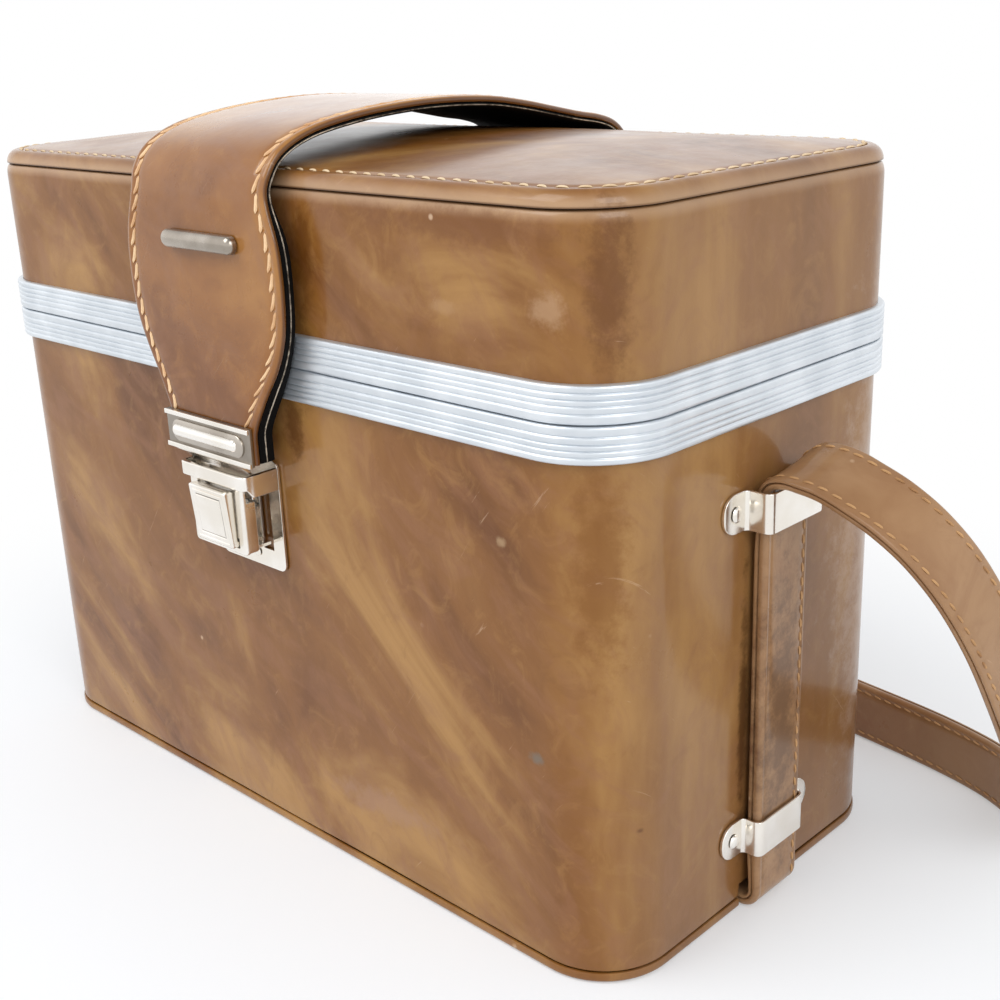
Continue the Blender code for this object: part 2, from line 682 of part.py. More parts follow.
def valance_profile(towards):
    """One frame's section: (out from the wall, height from the seam), ribbed, closed over the edge."""
    outer = [(VALANCE_STAND - VALANCE_BEAD / 2, 0), (VALANCE_STAND, VALANCE_BEAD / 2)]
    for share in VALANCE_GROOVE_SHARES:
        middle = share * VALANCE_HEIGHT
        outer.append((VALANCE_STAND, middle - GROOVE_HALF))
        outer.append((VALANCE_STAND - GROOVE_DEPTH, middle))
        outer.append((VALANCE_STAND, middle + GROOVE_HALF))
    outer.append((VALANCE_STAND, VALANCE_HEIGHT - VALANCE_BEAD))
    outer.append((VALANCE_STAND - VALANCE_BEAD, VALANCE_HEIGHT))
    leg = -WALL - GAP
    inner = [
        (GAP, VALANCE_HEIGHT), (GAP, VALANCE_WEB), (leg, VALANCE_WEB), (leg, VALANCE_LEG_DEPTH),
        (leg - VALANCE_LEG, VALANCE_LEG_DEPTH), (leg - VALANCE_LEG, 0),
    ]
    return [(out, towards * (GAP / 2 + up)) for out, up in outer + inner]


def make_valance(name, towards, carrier):
    """A frame lofted round the case's outline: each point of its section goes round once."""
    rings = [
        case_ring(out, SEAM_LEVEL + up, CORNER_RADIUS + out) for out, up in valance_profile(towards)
    ]
    add_part(name, loft_mesh(rings, closed=True), ALUMINIUM, carrier)


def make_linings():
    """The cloth-covered trays inside the body and the lid."""
    inset = WALL + GAP
    width, depth, radius = CASE_WIDTH - 2 * inset, CASE_DEPTH - 2 * inset, CORNER_RADIUS - inset
    top = SEAM_LEVEL - GAP / 2 - VALANCE_LEG_DEPTH - GAP
    tray = add_part(
        "body_lining", open_band(width, depth, radius, BASE_TOP + GAP, top, keep_low=True), VELVET, CASE
    )
    thicken(tray, LINING)
    low = SEAM_LEVEL + GAP / 2 + VALANCE_LEG_DEPTH + GAP
    tray = add_part(
        "lid_lining", open_band(width, depth, radius, low, LID_CEILING - GAP, keep_high=True), VELVET, LID
    )
    thicken(tray, LINING)


def make_divider():
    """The padded divider, and a channel on the front and the rear wall that it slides in."""
    inside = HALF_DEPTH - WALL - GAP - LINING - GAP
    reach = inside - GUIDE_WEB - GAP
    half = DIVIDER_THICKNESS / 2
    low = FLOOR_LEVEL + GAP
    divider = add_part(
        "padded_divider",
        box_mesh(((DIVIDER_X - half, -reach, low), (DIVIDER_X + half, reach, low + DIVIDER_HEIGHT))),
        VELVET, DIVIDER,
    )
    round_edges(divider, DIVIDER_EDGE)
    slot = half + GAP
    outer = slot + GUIDE_WIDTH
    for towards, name in ((-1, "front"), (1, "rear")):
        points = [
            (-outer, 0), (outer, 0), (outer, GUIDE_DEPTH), (slot, GUIDE_DEPTH), (slot, GUIDE_WEB),
            (-slot, GUIDE_WEB), (-slot, GUIDE_DEPTH), (-outer, GUIDE_DEPTH),
        ]
        places = [(DIVIDER_X + x, towards * (inside - depth)) for x, depth in points]
        add_part("divider_guide_" + name, flat_solid(places, low, low + GUIDE_HEIGHT), VELVET, CASE)


def leaf_mesh(x, towards, knuckles):
    """One hinge leaf: a plate on the valance and its knuckles round the axis."""
    back = VALANCE_FACE_Y + GAP
    front = back + LEAF_THICKNESS
    clear = KNUCKLE_RADIUS + 2 * GAP
    ends = sorted((SEAM_LEVEL + towards * clear, SEAM_LEVEL + towards * LEAF_HEIGHT))
    plate = add_cutter(
        "leaf_plate", box_mesh(((x - LEAF_WIDTH / 2, back, ends[0]), (x + LEAF_WIDTH / 2, front, ends[1])))
    )
    rolls, tabs = bmesh.new(), []
    for low, high in knuckles:
        cylinder_into(rolls, (x + low, HINGE_Y, SEAM_LEVEL), (1, 0, 0), high - low, KNUCKLE_RADIUS)
        levels = sorted((SEAM_LEVEL, SEAM_LEVEL + towards * (clear + LEAF_THICKNESS)))
        tabs.append(((x + low, back, levels[0]), (x + high, front, levels[1])))
    boolean(plate, add_cutter("leaf_tabs", box_mesh(*tabs)), "UNION")
    boolean(plate, add_cutter("leaf_knuckles", mesh_of(rolls)), "UNION")
    bore = bmesh.new()
    start = (x - LEAF_WIDTH / 2 - OVERRUN, HINGE_Y, SEAM_LEVEL)
    cylinder_into(bore, start, (1, 0, 0), LEAF_WIDTH + 2 * OVERRUN, HINGE_PIN_RADIUS + GAP)
    boolean(plate, add_cutter("leaf_bore", mesh_of(bore)))
    holes = hole_cutter("leaf_holes", leaf_seats(towards), SMALL_SHANK_RADIUS, LEAF_THICKNESS + OVERRUN)
    boolean(plate, holes)
    return evaluated_mesh(plate)


def make_hinges():
    """Two hinges outside the back: leaves on the valances, joined by headed pins."""
    third = LEAF_WIDTH / 6
    half = LEAF_WIDTH / 2
    outer_pair = ((-half, -third - GAP), (third + GAP, half))
    for side, name in ((-1, "left"), (1, "right")):
        x = side * HINGE_X
        add_part("hinge_body_leaf_" + name, leaf_mesh(x, -1, outer_pair), NICKEL, CASE)
        add_part("hinge_lid_leaf_" + name, leaf_mesh(x, 1, ((-third, third),)), NICKEL, LID)
        length = half + GAP
        profile = [
            (0, length + PIN_HEAD), (KNUCKLE_RADIUS, length + PIN_HEAD), (KNUCKLE_RADIUS, length),
            (HINGE_PIN_RADIUS, length), (HINGE_PIN_RADIUS, -length), (0, -length),
        ]
        place = pointing((x, HINGE_Y, SEAM_LEVEL), (side, 0, 0))
        pin = turned_mesh(profile)
        pin.transform(place)
        add_part("hinge_pin_" + name, pin, STEEL, CASE)
    grip = LEAF_THICKNESS + VALANCE_STAND / 2
    shape = rivet_shape(SMALL_HEAD_RADIUS, SMALL_HEAD_HEIGHT, SMALL_SHANK_RADIUS, grip)
    add_rivets("hinge_body_rivet", shape, leaf_seats(-1), CASE)
    add_rivets("hinge_lid_rivet", shape, leaf_seats(1), LID)
    for name, towards in (("lower_valance", -1), ("upper_valance", 1)):
        cutter = hole_cutter(name + "_holes", leaf_seats(towards), SMALL_SHANK_RADIUS, grip)
        boolean(bpy.data.objects[name], cutter)


def carry_route():
    """Rows of (x, y, z, half width) along the carry strap's outer face, from tail to rear end."""
    rows = []
    for height, stand, widen in TAIL_SHARES:
        y = -(STRAP_FACE_Y + stand * (TAIL_FACE_Y - STRAP_FACE_Y))
        z = TAIL_END + height * (BAR_LEVEL - TAIL_END)
        rows.append((0, y, z, TAIL_HALF + widen * (FACE_HALF - TAIL_HALF)))
    for across, height in ARCH_SHARES:
        z = GROOVE_LEVEL + height * (STRAP_CREST - GROOVE_LEVEL)
        rows.append((0, across * STRAP_FACE_Y, z, HANDLE_HALF))
    rows.append((0, STRAP_FACE_Y, BAR_LEVEL, (HANDLE_HALF + FACE_HALF) / 2))
    rows.append((0, STRAP_FACE_Y, REAR_END, FACE_HALF))
    return even_route(rows, STRAP_STEP)


def make_carry_strap():
    """The two layers of the carry strap, each lofted along the same route."""
    route = carry_route()
    centres, halves = route[:, :3], route[:, 3]
    tangents = route_tangents(centres)
    sides = np.tile([1.0, 0.0, 0.0], (len(centres), 1))
    inward = np.cross(sides, tangents)
    inward *= -np.sign(inward[len(inward) // 2, 2])
    layers = (
        ("carry_strap_outer", BROWN, STRAP_OUTER, 0.0),
        ("carry_strap_lining", BLACK, STRAP_LINING, STRAP_OUTER + GAP),
    )
    for name, finish, thickness, depth in layers:
        middle = centres + inward * (depth + thickness / 2)
        strap = add_part(name, ribbon_mesh(middle, sides, halves), finish, LID)
        thicken(strap, thickness, offset=0.0)
        for towards, end in ((-1, "front"), (1, "rear")):
            boolean(strap, hole_cutter(name + "_" + end, bar_seats(towards), BAR_POST_RADIUS, BAR_GRIP))


def bar_mesh(towards):
    """A bar with rounded ends that lies across the strap, with two posts into the lid's wall."""
    bar = add_cutter("bar_body", flat_solid(
        rounded_outline(BAR_LENGTH, BAR_HEIGHT, BAR_HEIGHT / 2 - WELD), 0, BAR_STAND - GAP
    ))
    round_edges(bar, BAR_STAND / 4)
    posts = bmesh.new()
    for end in (-1, 1):
        start = (end * BAR_POST_X, 0, -BAR_GRIP)
        cylinder_into(posts, start, (0, 0, 1), BAR_GRIP + BAR_STAND / 2, BAR_POST_RADIUS)
    boolean(bar, add_cutter("bar_posts", mesh_of(posts)), "UNION")
    mesh = evaluated_mesh(bar)
    lift = Matrix.Translation((0, 0, GAP))
    turn = Matrix.Rotation(-towards * math.pi / 2, 4, "X")
    mesh.transform(Matrix.Translation((0, towards * STRAP_FACE_Y, BAR_LEVEL)) @ turn @ lift)
    return mesh


def make_strap_bars():
    for towards, name in ((-1, "strap_bar_front"), (1, "strap_bar_rear")):
        add_part(name, bar_mesh(towards), NICKEL, LID)


def make_tongue():
    """The tongue: a plate on the strap's tail, folded in to a blade that stands in the lock."""
    front, back = -TONGUE_FRONT_Y, -TONGUE_FRONT_Y + TONGUE_SHEET
    blade_back = -BLADE_FRONT_Y + BLADE_SHEET
    points = [
        (front, TONGUE_TOP), (front, TONGUE_FOLD), (-BLADE_FRONT_Y, BLADE_SHOULDER),
        (-BLADE_FRONT_Y, BLADE_TIP), (blade_back, BLADE_TIP), (blade_back, BLADE_SHOULDER + TONGUE_RIM),
        (back, TONGUE_FOLD + TONGUE_RIM), (back, TONGUE_TOP),
    ]
    wide = TAIL_HALF + TONGUE_SIDE
    tongue = add_part("lock_tongue", side_solid(points, -wide, wide), NICKEL, LID)
    sides = []
    for side in (-1, 1):
        near, far = sorted((side * BLADE_HALF, side * (wide + OVERRUN)))
        sides.append((
            (near, front - OVERRUN, BLADE_TIP - OVERRUN),
            (far, blade_back + OVERRUN, TONGUE_FOLD - TONGUE_RIM),
        ))
    boolean(tongue, add_cutter("tongue_sides", box_mesh(*sides)))
    boss = add_cutter("tongue_boss", flat_solid(
        rounded_outline(BOSS_LENGTH, BOSS_HEIGHT, BOSS_HEIGHT / 2 - WELD), -TONGUE_SHEET / 2, BOSS_STAND
    ))
    round_edges(boss, BOSS_STAND / 3)
    boss.location = (0, front, (TONGUE_FOLD + TONGUE_TOP) / 2)
    boss.rotation_euler = (math.pi / 2, 0, 0)
    boolean(tongue, boss, "UNION")


def make_lock_plate():
    """The lock's back plate, with a slot on each side of its spring seat."""
    height = PLATE_HIGH - PLATE_LOW
    mesh = flat_solid(rounded_outline(2 * PLATE_HALF, height, PLATE_CORNER), 0, PLATE_THICKNESS)
    turn = Matrix.Rotation(math.pi / 2, 4, "X")
    mesh.transform(Matrix.Translation((0, -HALF_DEPTH - GAP, PLATE_LOW + height / 2)) @ turn)
    plate = add_part("lock_back_plate", mesh, NICKEL, CASE)
    front, back = -PLATE_FRONT_Y - OVERRUN, -HALF_DEPTH + OVERRUN
    slots = []
    for side in (-1, 1):
        near, far = sorted((side * SLOT_INNER, side * (SLOT_INNER + SLOT_WIDTH)))
        slots.append(((near, front, SLOT_LOW), (far, back, SLOT_LOW + SLOT_LENGTH)))
    boolean(plate, add_cutter("plate_slots", box_mesh(*slots)))
    boolean(plate, hole_cutter("plate_holes", lock_seats(), SMALL_SHANK_RADIUS, RIVET_GRIP))
    shape = rivet_shape(SMALL_HEAD_RADIUS, SMALL_HEAD_HEIGHT, SMALL_SHANK_RADIUS, RIVET_GRIP)
    add_rivets("lock_rivet", shape, lock_seats(), CASE)


def make_catch():
    """The catch: a sheet frame round the button, a bridge over the tongue, and legs to the plate."""
    seat = -PLATE_FRONT_Y - GAP
    window_half = BUTTON_HALF + BUTTON_SIDE_GAP
    window = (BUTTON_LOW - GAP, BUTTON_HIGH + BUTTON_TOP_GAP)
    back = -CATCH_BACK_Y
    frame = add_part(
        "lock_catch_frame",
        box_mesh(((-CATCH_HALF, -CATCH_FRONT_Y, CATCH_LOW), (CATCH_HALF, back, BRIDGE_LOW + BRIDGE_LAP))),
        NICKEL, CASE,
    )
    boolean(frame, add_cutter("catch_window", box_mesh((
        (-window_half, -CATCH_FRONT_Y - OVERRUN, window[0]), (window_half, back + OVERRUN, window[1])
    ))))
    bridge_back = -BRIDGE_FRONT_Y + BRIDGE_DEPTH
    bridge = add_cutter("catch_bridge", box_mesh((
        (-BRIDGE_HALF, -BRIDGE_FRONT_Y, BRIDGE_LOW), (BRIDGE_HALF, bridge_back, BRIDGE_HIGH)
    )))
    round_edges(bridge, BRIDGE_EDGE)
    boolean(frame, bridge, "UNION")
    inset = GAP / 2
    flange_low = CATCH_LOW + CATCH_SHEET / 2
    flange_back = -CATCH_FRONT_Y + FLANGE_DEPTH
    for side in (-1, 1):
        leg = sorted((side * (BRIDGE_HALF - CATCH_LEG), side * (BRIDGE_HALF - inset)))
        flange = sorted((side * (CATCH_HALF - FLANGE), side * (CATCH_HALF - inset)))
        boolean(frame, add_cutter("catch_leg", box_mesh((
            (leg[0], bridge_back - BRIDGE_EDGE, BRIDGE_LOW - CATCH_LEG_DROP),
            (leg[1], seat, BRIDGE_HIGH - inset),
        ))), "UNION")
        boolean(frame, add_cutter("catch_flange", box_mesh((
            (flange[0], back - CATCH_SHEET / 2, flange_low), (flange[1], flange_back, BLADE_TIP - FLANGE_DROP)
        ))), "UNION")
    foot = CATCH_HALF - FOOT_INSET
    boolean(frame, add_cutter("catch_foot", box_mesh((
        (-foot, back - CATCH_SHEET / 2, CATCH_LOW + inset), (foot, seat, CATCH_LOW + CATCH_SHEET)
    ))), "UNION")


def make_button():
    """The press button, a wedge that pivots at its foot, and its pin."""
    points = [
        (-BUTTON_BACK_Y, BUTTON_HIGH), (-BUTTON_TOP_Y, BUTTON_HIGH), (-BUTTON_FOOT_Y, BUTTON_LOW),
        (-BUTTON_HUB_Y, BUTTON_LOW), (-BUTTON_HUB_Y, BUTTON_HUB_HIGH), (-BUTTON_BACK_Y, BUTTON_HUB_HIGH),
    ]
    button = add_part("lock_button", side_solid(points, -BUTTON_HALF, BUTTON_HALF), NICKEL, BUTTON)
    round_edges(button, BUTTON_EDGE, segments=1)
    reach = CATCH_HALF - FLANGE - GAP
    bore, pin = bmesh.new(), bmesh.new()
    start = (-reach, -BUTTON_PIN_Y, BUTTON_PIN_Z)
    cylinder_into(bore, start, (1, 0, 0), 2 * reach, BUTTON_PIN_RADIUS + GAP)
    boolean(button, add_cutter("button_bore", mesh_of(bore)))
    cylinder_into(pin, start, (1, 0, 0), 2 * reach, BUTTON_PIN_RADIUS)
    add_part("lock_button_pin", mesh_of(pin), STEEL, CASE)


def make_lock_spring():
    """The coil that pushes the button out, from the back plate to the button's back."""
    length = BUTTON_BACK_Y - PLATE_FRONT_Y - 2 * GAP - 2 * SPRING_WIRE
    share = np.linspace(0, 1, SPRING_TURN_POINTS * SPRING_TURNS + 1)
    angle = 2 * math.pi * SPRING_TURNS * share
    points = np.stack([
        SPRING_RADIUS * np.cos(angle),
        -PLATE_FRONT_Y - GAP - SPRING_WIRE - length * share,
        SPRING_LEVEL + SPRING_RADIUS * np.sin(angle),
    ], axis=1)
    apart = np.linalg.norm(points[:, None] - points[None], axis=2)
    steps = np.arange(len(points))
    beyond = abs(steps[:, None] - steps[None]) > SPRING_TURN_POINTS / 2
    print(f"lock_spring: least gap between turns {(apart[beyond].min() - 2 * SPRING_WIRE) / MM:.2f} mm")
    wire = bpy.data.curves.new("spring", "CURVE")
    wire.dimensions = "3D"
    wire.bevel_depth = SPRING_WIRE
    wire.bevel_resolution = 1
    wire.use_fill_caps = True
    spline = wire.splines.new("POLY")
    spline.points.add(len(points) - 1)
    for point, place in zip(spline.points, points):
        point.co = (*place, 1)
    coil = bpy.data.objects.new("spring", wire)
    PARTS.objects.link(coil)
    add_part("lock_spring", evaluated_mesh(coil), STEEL, CASE)


def bracket_mesh(side, half, stand, level):
    """A bent strip with round ears on the wall and a loop over the strap."""
    ear, sheet = half + BRACKET_EAR, BRACKET_SHEET
    near, far = GAP, GAP + sheet
    points = [
        (-ear, near), (-half + sheet, near), (-half + sheet, stand - sheet), (half - sheet, stand - sheet),
        (half - sheet, near), (ear, near), (ear, far), (half, far), (half, stand), (-half, stand),
        (-half, far), (-ear, far),
    ]
    bm = bmesh.new()
    bm.from_mesh(flat_solid(points, -BRACKET_HEIGHT / 2, BRACKET_HEIGHT / 2))
    tips = [
        e for e in bm.edges
        if all(abs(abs(v.co.x) - ear) < WELD for v in e.verts)
        and abs(e.verts[0].co.z - e.verts[1].co.z) < WELD
    ]
    bmesh.ops.bevel(
        bm, geom=tips, offset=BRACKET_HEIGHT / 2 - GAP, segments=5, profile=0.5, affect="EDGES"
    )
    bm.transform(Matrix(((0, side, 0, side * HALF_WIDTH), (1, 0, 0, 0), (0, 0, 1, level), (0, 0, 0, 1))))
    bmesh.ops.recalc_face_normals(bm, faces=bm.faces)
    return mesh_of(bm)


def make_brackets():
    shape = rivet_shape(RIVET_HEAD_RADIUS, RIVET_HEAD_HEIGHT, RIVET_SHANK_RADIUS, RIVET_GRIP + BRACKET_SHEET)
    for side, end in ((-1, "left"), (1, "right")):
        seats = bracket_seats(side)
        for name, (half, stand, level) in BRACKETS.items():
            bracket = add_part(
                "strap_bracket_" + name + "_" + end, bracket_mesh(side, half, stand, level), NICKEL, CASE
            )
            cutter = hole_cutter("bracket_hole", seats, RIVET_SHANK_RADIUS, BRACKET_SHEET + OVERRUN)
            boolean(bracket, cutter)
        add_rivets("bracket_rivet_" + end, shape, seats, CASE)


def make_shoulder_run():
    """The held length of the shoulder strap: up both ends and through the channel underneath."""
    middle = GAP + SHOULDER_THICKNESS / 2
    radius = SHOULDER_BEND + SHOULDER_THICKNESS / 2
    rows = [(SHOULDER_X, 0, SHOULDER_RUN_END), (SHOULDER_X, 0, middle + radius + SHOULDER_HALF)]
    for angle in np.linspace(0, math.pi / 2, 5):
        x = SHOULDER_X - radius + radius * math.cos(angle)
        rows.append((x, 0, middle + radius - radius * math.sin(angle)))
    rows.append((HALF_WIDTH / 2, 0, middle))
    right = np.array(rows)
    left = right[::-1] * (-1, 1, 1)
    centres = np.vstack([right, left])
    sides = np.tile([0.0, 1.0, 0.0], (len(centres), 1))
    halves = np.full(len(centres), SHOULDER_HALF)
    strap = add_part("shoulder_strap_run", ribbon_mesh(centres, sides, halves), BROWN, CASE)
    thicken(strap, SHOULDER_THICKNESS, offset=0.0)


def make_shoulder_loop():
    """The free length: it arches out of the right bracket and lies on edge behind the case."""
    right = np.array([(*place, lean) for place, lean in LOOP_ROUTE], float)
    left = right[-2::-1] * (-1, 1, 1, 1)
    rows = np.vstack([right, left]) * (MM, MM, MM, 1)
    route = curve_through(rows, LOOP_PARTS)
    centres, lean = route[:, :3], np.radians(route[:, 3])
    tangents = route_tangents(centres)
    sides = np.stack([np.zeros(len(lean)), np.cos(lean), np.sin(lean)], axis=1)
    sides -= (sides * tangents).sum(1)[:, None] * tangents
    sides /= np.linalg.norm(sides, axis=1)[:, None]
    strap = add_part(
        "shoulder_strap_loop", ribbon_mesh(centres, sides, np.full(len(centres), SHOULDER_HALF)), BROWN, CASE
    )
    thicken(strap, SHOULDER_THICKNESS, offset=0.0)


make_case_walls()
make_bottom_panel()
make_lid_top()
make_valance("lower_valance", -1, CASE)
make_valance("upper_valance", 1, LID)
make_linings()
make_divider()
make_hinges()
make_carry_strap()
make_strap_bars()
make_tongue()
make_lock_plate()
make_catch()
make_button()
make_lock_spring()
make_brackets()
make_shoulder_run()
make_shoulder_loop()
CASE.location.y = CASE_Y
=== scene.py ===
"""Looks of a camera hard case: marbled leatherette over board, ribbed seam frames, stitched straps.

Frame: metres, +X to the right end, -Y to the front, +Z up. The camera stands where the photograph's did.
Pieces are surfaces of two parameters, worked out as whole arrays and put into meshes.
"""
import math

import bmesh
import bpy
import numpy as np
from mathutils import Matrix, Vector


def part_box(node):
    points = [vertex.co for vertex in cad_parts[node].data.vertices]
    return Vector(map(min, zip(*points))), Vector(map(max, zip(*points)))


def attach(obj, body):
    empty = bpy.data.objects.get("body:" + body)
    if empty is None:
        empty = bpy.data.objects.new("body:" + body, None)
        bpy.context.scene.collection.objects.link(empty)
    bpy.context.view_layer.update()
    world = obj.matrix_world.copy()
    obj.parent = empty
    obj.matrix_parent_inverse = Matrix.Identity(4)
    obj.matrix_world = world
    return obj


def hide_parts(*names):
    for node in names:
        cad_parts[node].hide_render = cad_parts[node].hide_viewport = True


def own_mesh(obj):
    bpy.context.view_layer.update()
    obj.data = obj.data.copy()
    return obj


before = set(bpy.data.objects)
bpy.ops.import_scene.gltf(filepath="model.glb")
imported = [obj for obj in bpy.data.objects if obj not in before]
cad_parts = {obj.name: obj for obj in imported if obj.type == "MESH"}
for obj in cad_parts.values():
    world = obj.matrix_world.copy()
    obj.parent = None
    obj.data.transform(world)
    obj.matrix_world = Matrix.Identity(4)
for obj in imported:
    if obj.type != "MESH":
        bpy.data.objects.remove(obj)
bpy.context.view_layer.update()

MM = 0.001
GAP = 0.3 * MM
WELD = 0.002 * MM
X, Y, Z = np.eye(3)


def place(node):
    """Lowest and highest corner of a CAD node, as arrays."""
    low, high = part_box(node)
    return np.array(low), np.array(high)


# Places read from the frame: the walls
WALL_LOW, WALL_HIGH = place("body_shell")
LID_LOW, LID_HIGH = place("lid_shell")
CENTRE_Y = (WALL_LOW[1] + WALL_HIGH[1]) / 2
HALF_X = (WALL_HIGH[0] - WALL_LOW[0]) / 2
HALF_Y = (WALL_HIGH[1] - WALL_LOW[1]) / 2
SEAM = (place("lower_valance")[1][2] + place("upper_valance")[0][2]) / 2
CORNER = 26 * MM
WALL = 4 * MM
STRAIGHT_Y = HALF_Y - CORNER
WAVES = 7
ENDS = ((-1, "left"), (1, "right"))


# Shapes as arrays


def ease(value, low, high):
    """A smooth step from 0 at low to 1 at high."""
    share = np.clip((value - low) / (high - low), 0, 1)
    return share * share * (3 - 2 * share)


def bump_at(value, middle, width):
    """A bell of height 1 round a middle."""
    return np.exp(-((value - middle) / width) ** 2)


def quarter_round(distance, reach):
    """Height of a quarter circle, as a share of its radius, at a distance in from its foot."""
    return np.sqrt(np.clip(1 - (1 - np.clip(distance / reach, 0, 1)) ** 2, 0, 1))


def rounding(start, reach, count, steep=True, end=math.pi / 2):
    """Points on a quarter of an ellipse from its start, a reach across and up. It leaves the start
    steeply or else level, and may run on past the quarter."""
    angle = np.linspace(0, end, count)
    shares = np.stack([1 - np.cos(angle), np.sin(angle)], axis=1)
    return np.array(start) + (shares if steep else shares[:, ::-1]) * reach


def ripple(points, seed, size):
    """A smooth uneven height, from -1 to 1: a mean of sine waves in chance directions, about a size
    long."""
    chance = np.random.default_rng(seed)
    turns = chance.normal(size=(WAVES, 3))
    turns /= np.linalg.norm(turns, axis=1)[:, None]
    lengths = size * chance.uniform(0.6, 1.7, WAVES)
    phases = chance.uniform(0, 2 * math.pi, WAVES)
    return np.sin(points @ (turns / lengths[:, None]).T * 2 * math.pi + phases).mean(axis=-1) * 2


def outline(straight_x=48, straight_y=20, arc=20, cuts=()):
    """The turns of a rounded rectangle, anticlockwise from the right end's rear corner.

    Each point is its corner circle's centre, as signs of x and y, and the angle of its outward
    direction. On a straight side the angle stands still and a sign runs to the next corner's.
    Cuts are shares of the two ends' straight length, where a form there needs an edge.
    """
    corners = np.array(((1, 1), (-1, 1), (-1, -1), (1, -1), (1, 1)), float)
    ends = np.unique(np.concatenate([np.linspace(0, 1, straight_y, endpoint=False), cuts]))
    runs = (np.linspace(0, 1, straight_x, endpoint=False), ends)
    rows = []
    for turn, (here, there) in enumerate(zip(corners, corners[1:])):
        angles = (turn + np.linspace(0, 1, arc, endpoint=False)) * math.pi / 2
        rows.append(np.column_stack([np.tile(here, (arc, 1)), angles]))
        share = runs[turn % 2][:, None]
        still = np.full(len(share), (turn + 1) * math.pi / 2)
        rows.append(np.column_stack([here + (there - here) * share, still]))
    return np.concatenate(rows)


def outline_spots(turns, half_x, half_y, corner):
    """X and Y of an outline's points: each one stands the corner radius out from its circle's centre."""
    x = turns[:, 0] * (half_x - corner) + corner * np.cos(turns[:, 2])
    return x, turns[:, 1] * (half_y - corner) + corner * np.sin(turns[:, 2])


def around(section, turns):
    """A section of (out, height) points carried round the case: the corner circles' centres stay,
    and each point stands the corner radius and its own distance out from them."""
    out, height = np.array(section, float).T
    core = np.stack([turns[:, 0] * (HALF_X - CORNER), CENTRE_Y + turns[:, 1] * STRAIGHT_Y], axis=1)
    outward = np.stack([np.cos(turns[:, 2]), np.sin(turns[:, 2])], axis=1)
    flat = core[None] + (CORNER + out)[:, None, None] * outward[None]
    return np.concatenate([flat, np.broadcast_to(height[:, None, None], (*flat.shape[:2], 1))], axis=2)


def curve_through(rows, parts):
    """A Catmull-Rom curve through rows of numbers, with so many parts between each two of them."""
    rows = np.array(rows, float)
    ends = np.vstack([2 * rows[0] - rows[1], rows, 2 * rows[-1] - rows[-2]])
    share = np.linspace(0, 1, parts, endpoint=False)[None, :, None]
    a, b, c, d = (ends[start:start + len(rows) - 1, None] for start in range(4))
    bend, cubic = 2 * a - 5 * b + 4 * c - d, 3 * b - a - 3 * c + d
    inside = (2 * b + (c - a) * share + bend * share**2 + cubic * share**3) / 2
    return np.vstack([inside.reshape(-1, rows.shape[1]), rows[-1:]])


def along(points):
    """The distance of each point from the first, along the line through them."""
    return np.concatenate([[0], np.cumsum(np.linalg.norm(np.diff(points, axis=0), axis=1))])


def even(rows, step):
    """Rows about a step apart along the line through their first three columns."""
    travelled = along(rows[:, :3])
    places = np.linspace(0, travelled[-1], math.ceil(travelled[-1] / step) + 1)
    return np.stack([np.interp(places, travelled, column) for column in rows.T], axis=1)


def unit(vectors):
    """Vectors made one long."""
    return vectors / np.linalg.norm(vectors, axis=-1, keepdims=True)


def carried(centres, sides, ups, across, height):
    """A section carried along a path: each of its points stands across and up from the path's point.
    Across and height hold a row for each path point, or one row for all."""
    across, height = np.atleast_2d(across)[..., None], np.atleast_2d(height)[..., None]
    return centres[:, None] + sides[:, None] * across + ups[:, None] * height


def capped(points):
    """Closes both ends of a carried closed section with a point in the middle of each end."""
    ends = [np.broadcast_to(points[end].mean(axis=0), (1, *points.shape[1:])) for end in (0, -1)]
    return np.concatenate([ends[0], points, ends[1]])


def grid_faces(rows, columns, closed):
    """Four corners for each cell between the rings of a grid of points, and the row and column of each
    corner. Each row is a ring, and if the grid is closed, the last ring joins the first."""
    row, column = np.meshgrid(np.arange(rows - (not closed)), np.arange(columns), indexing="ij")
    corner_rows = np.stack([row, row, row + 1, row + 1], axis=-1).reshape(-1, 4)
    corner_columns = np.stack([column, column + 1, column + 1, column], axis=-1).reshape(-1, 4)
    return corner_rows % rows * columns + corner_columns % columns, corner_rows, corner_columns


class Patch:
    """A grid of points whose rows are rings, or a stack of such grids. If it is closed, its last ring
    joins its first.

    Lengths and widths are the distances that its map gives to rows and columns. The finish is the
    number of its material in the piece.
    """

    def __init__(self, points, closed=False, lengths=None, widths=None, finish=0):
        self.points = points.reshape(-1, *points.shape[-3:])
        self.closed, self.finish = closed, finish
        high, wide = self.points.shape[1:3]
        self.lengths = np.arange(high + 1) * MM if lengths is None else np.append(lengths, lengths[-1])
        self.widths = np.arange(wide + 1) * MM if widths is None else np.append(widths, widths[-1])

    def faces(self, start):
        """Corner numbers, counted from a start, and each corner's place on the map."""
        count, high, wide = self.points.shape[:3]
        corners, rows, columns = grid_faces(high, wide, self.closed)
        shift = start + np.arange(count)[:, None, None] * high * wide
        places = np.stack([self.lengths[rows], self.widths[columns]], axis=-1)
        return (corners[None] + shift).reshape(-1, 4), np.tile(places.reshape(-1, 2), (count, 1))


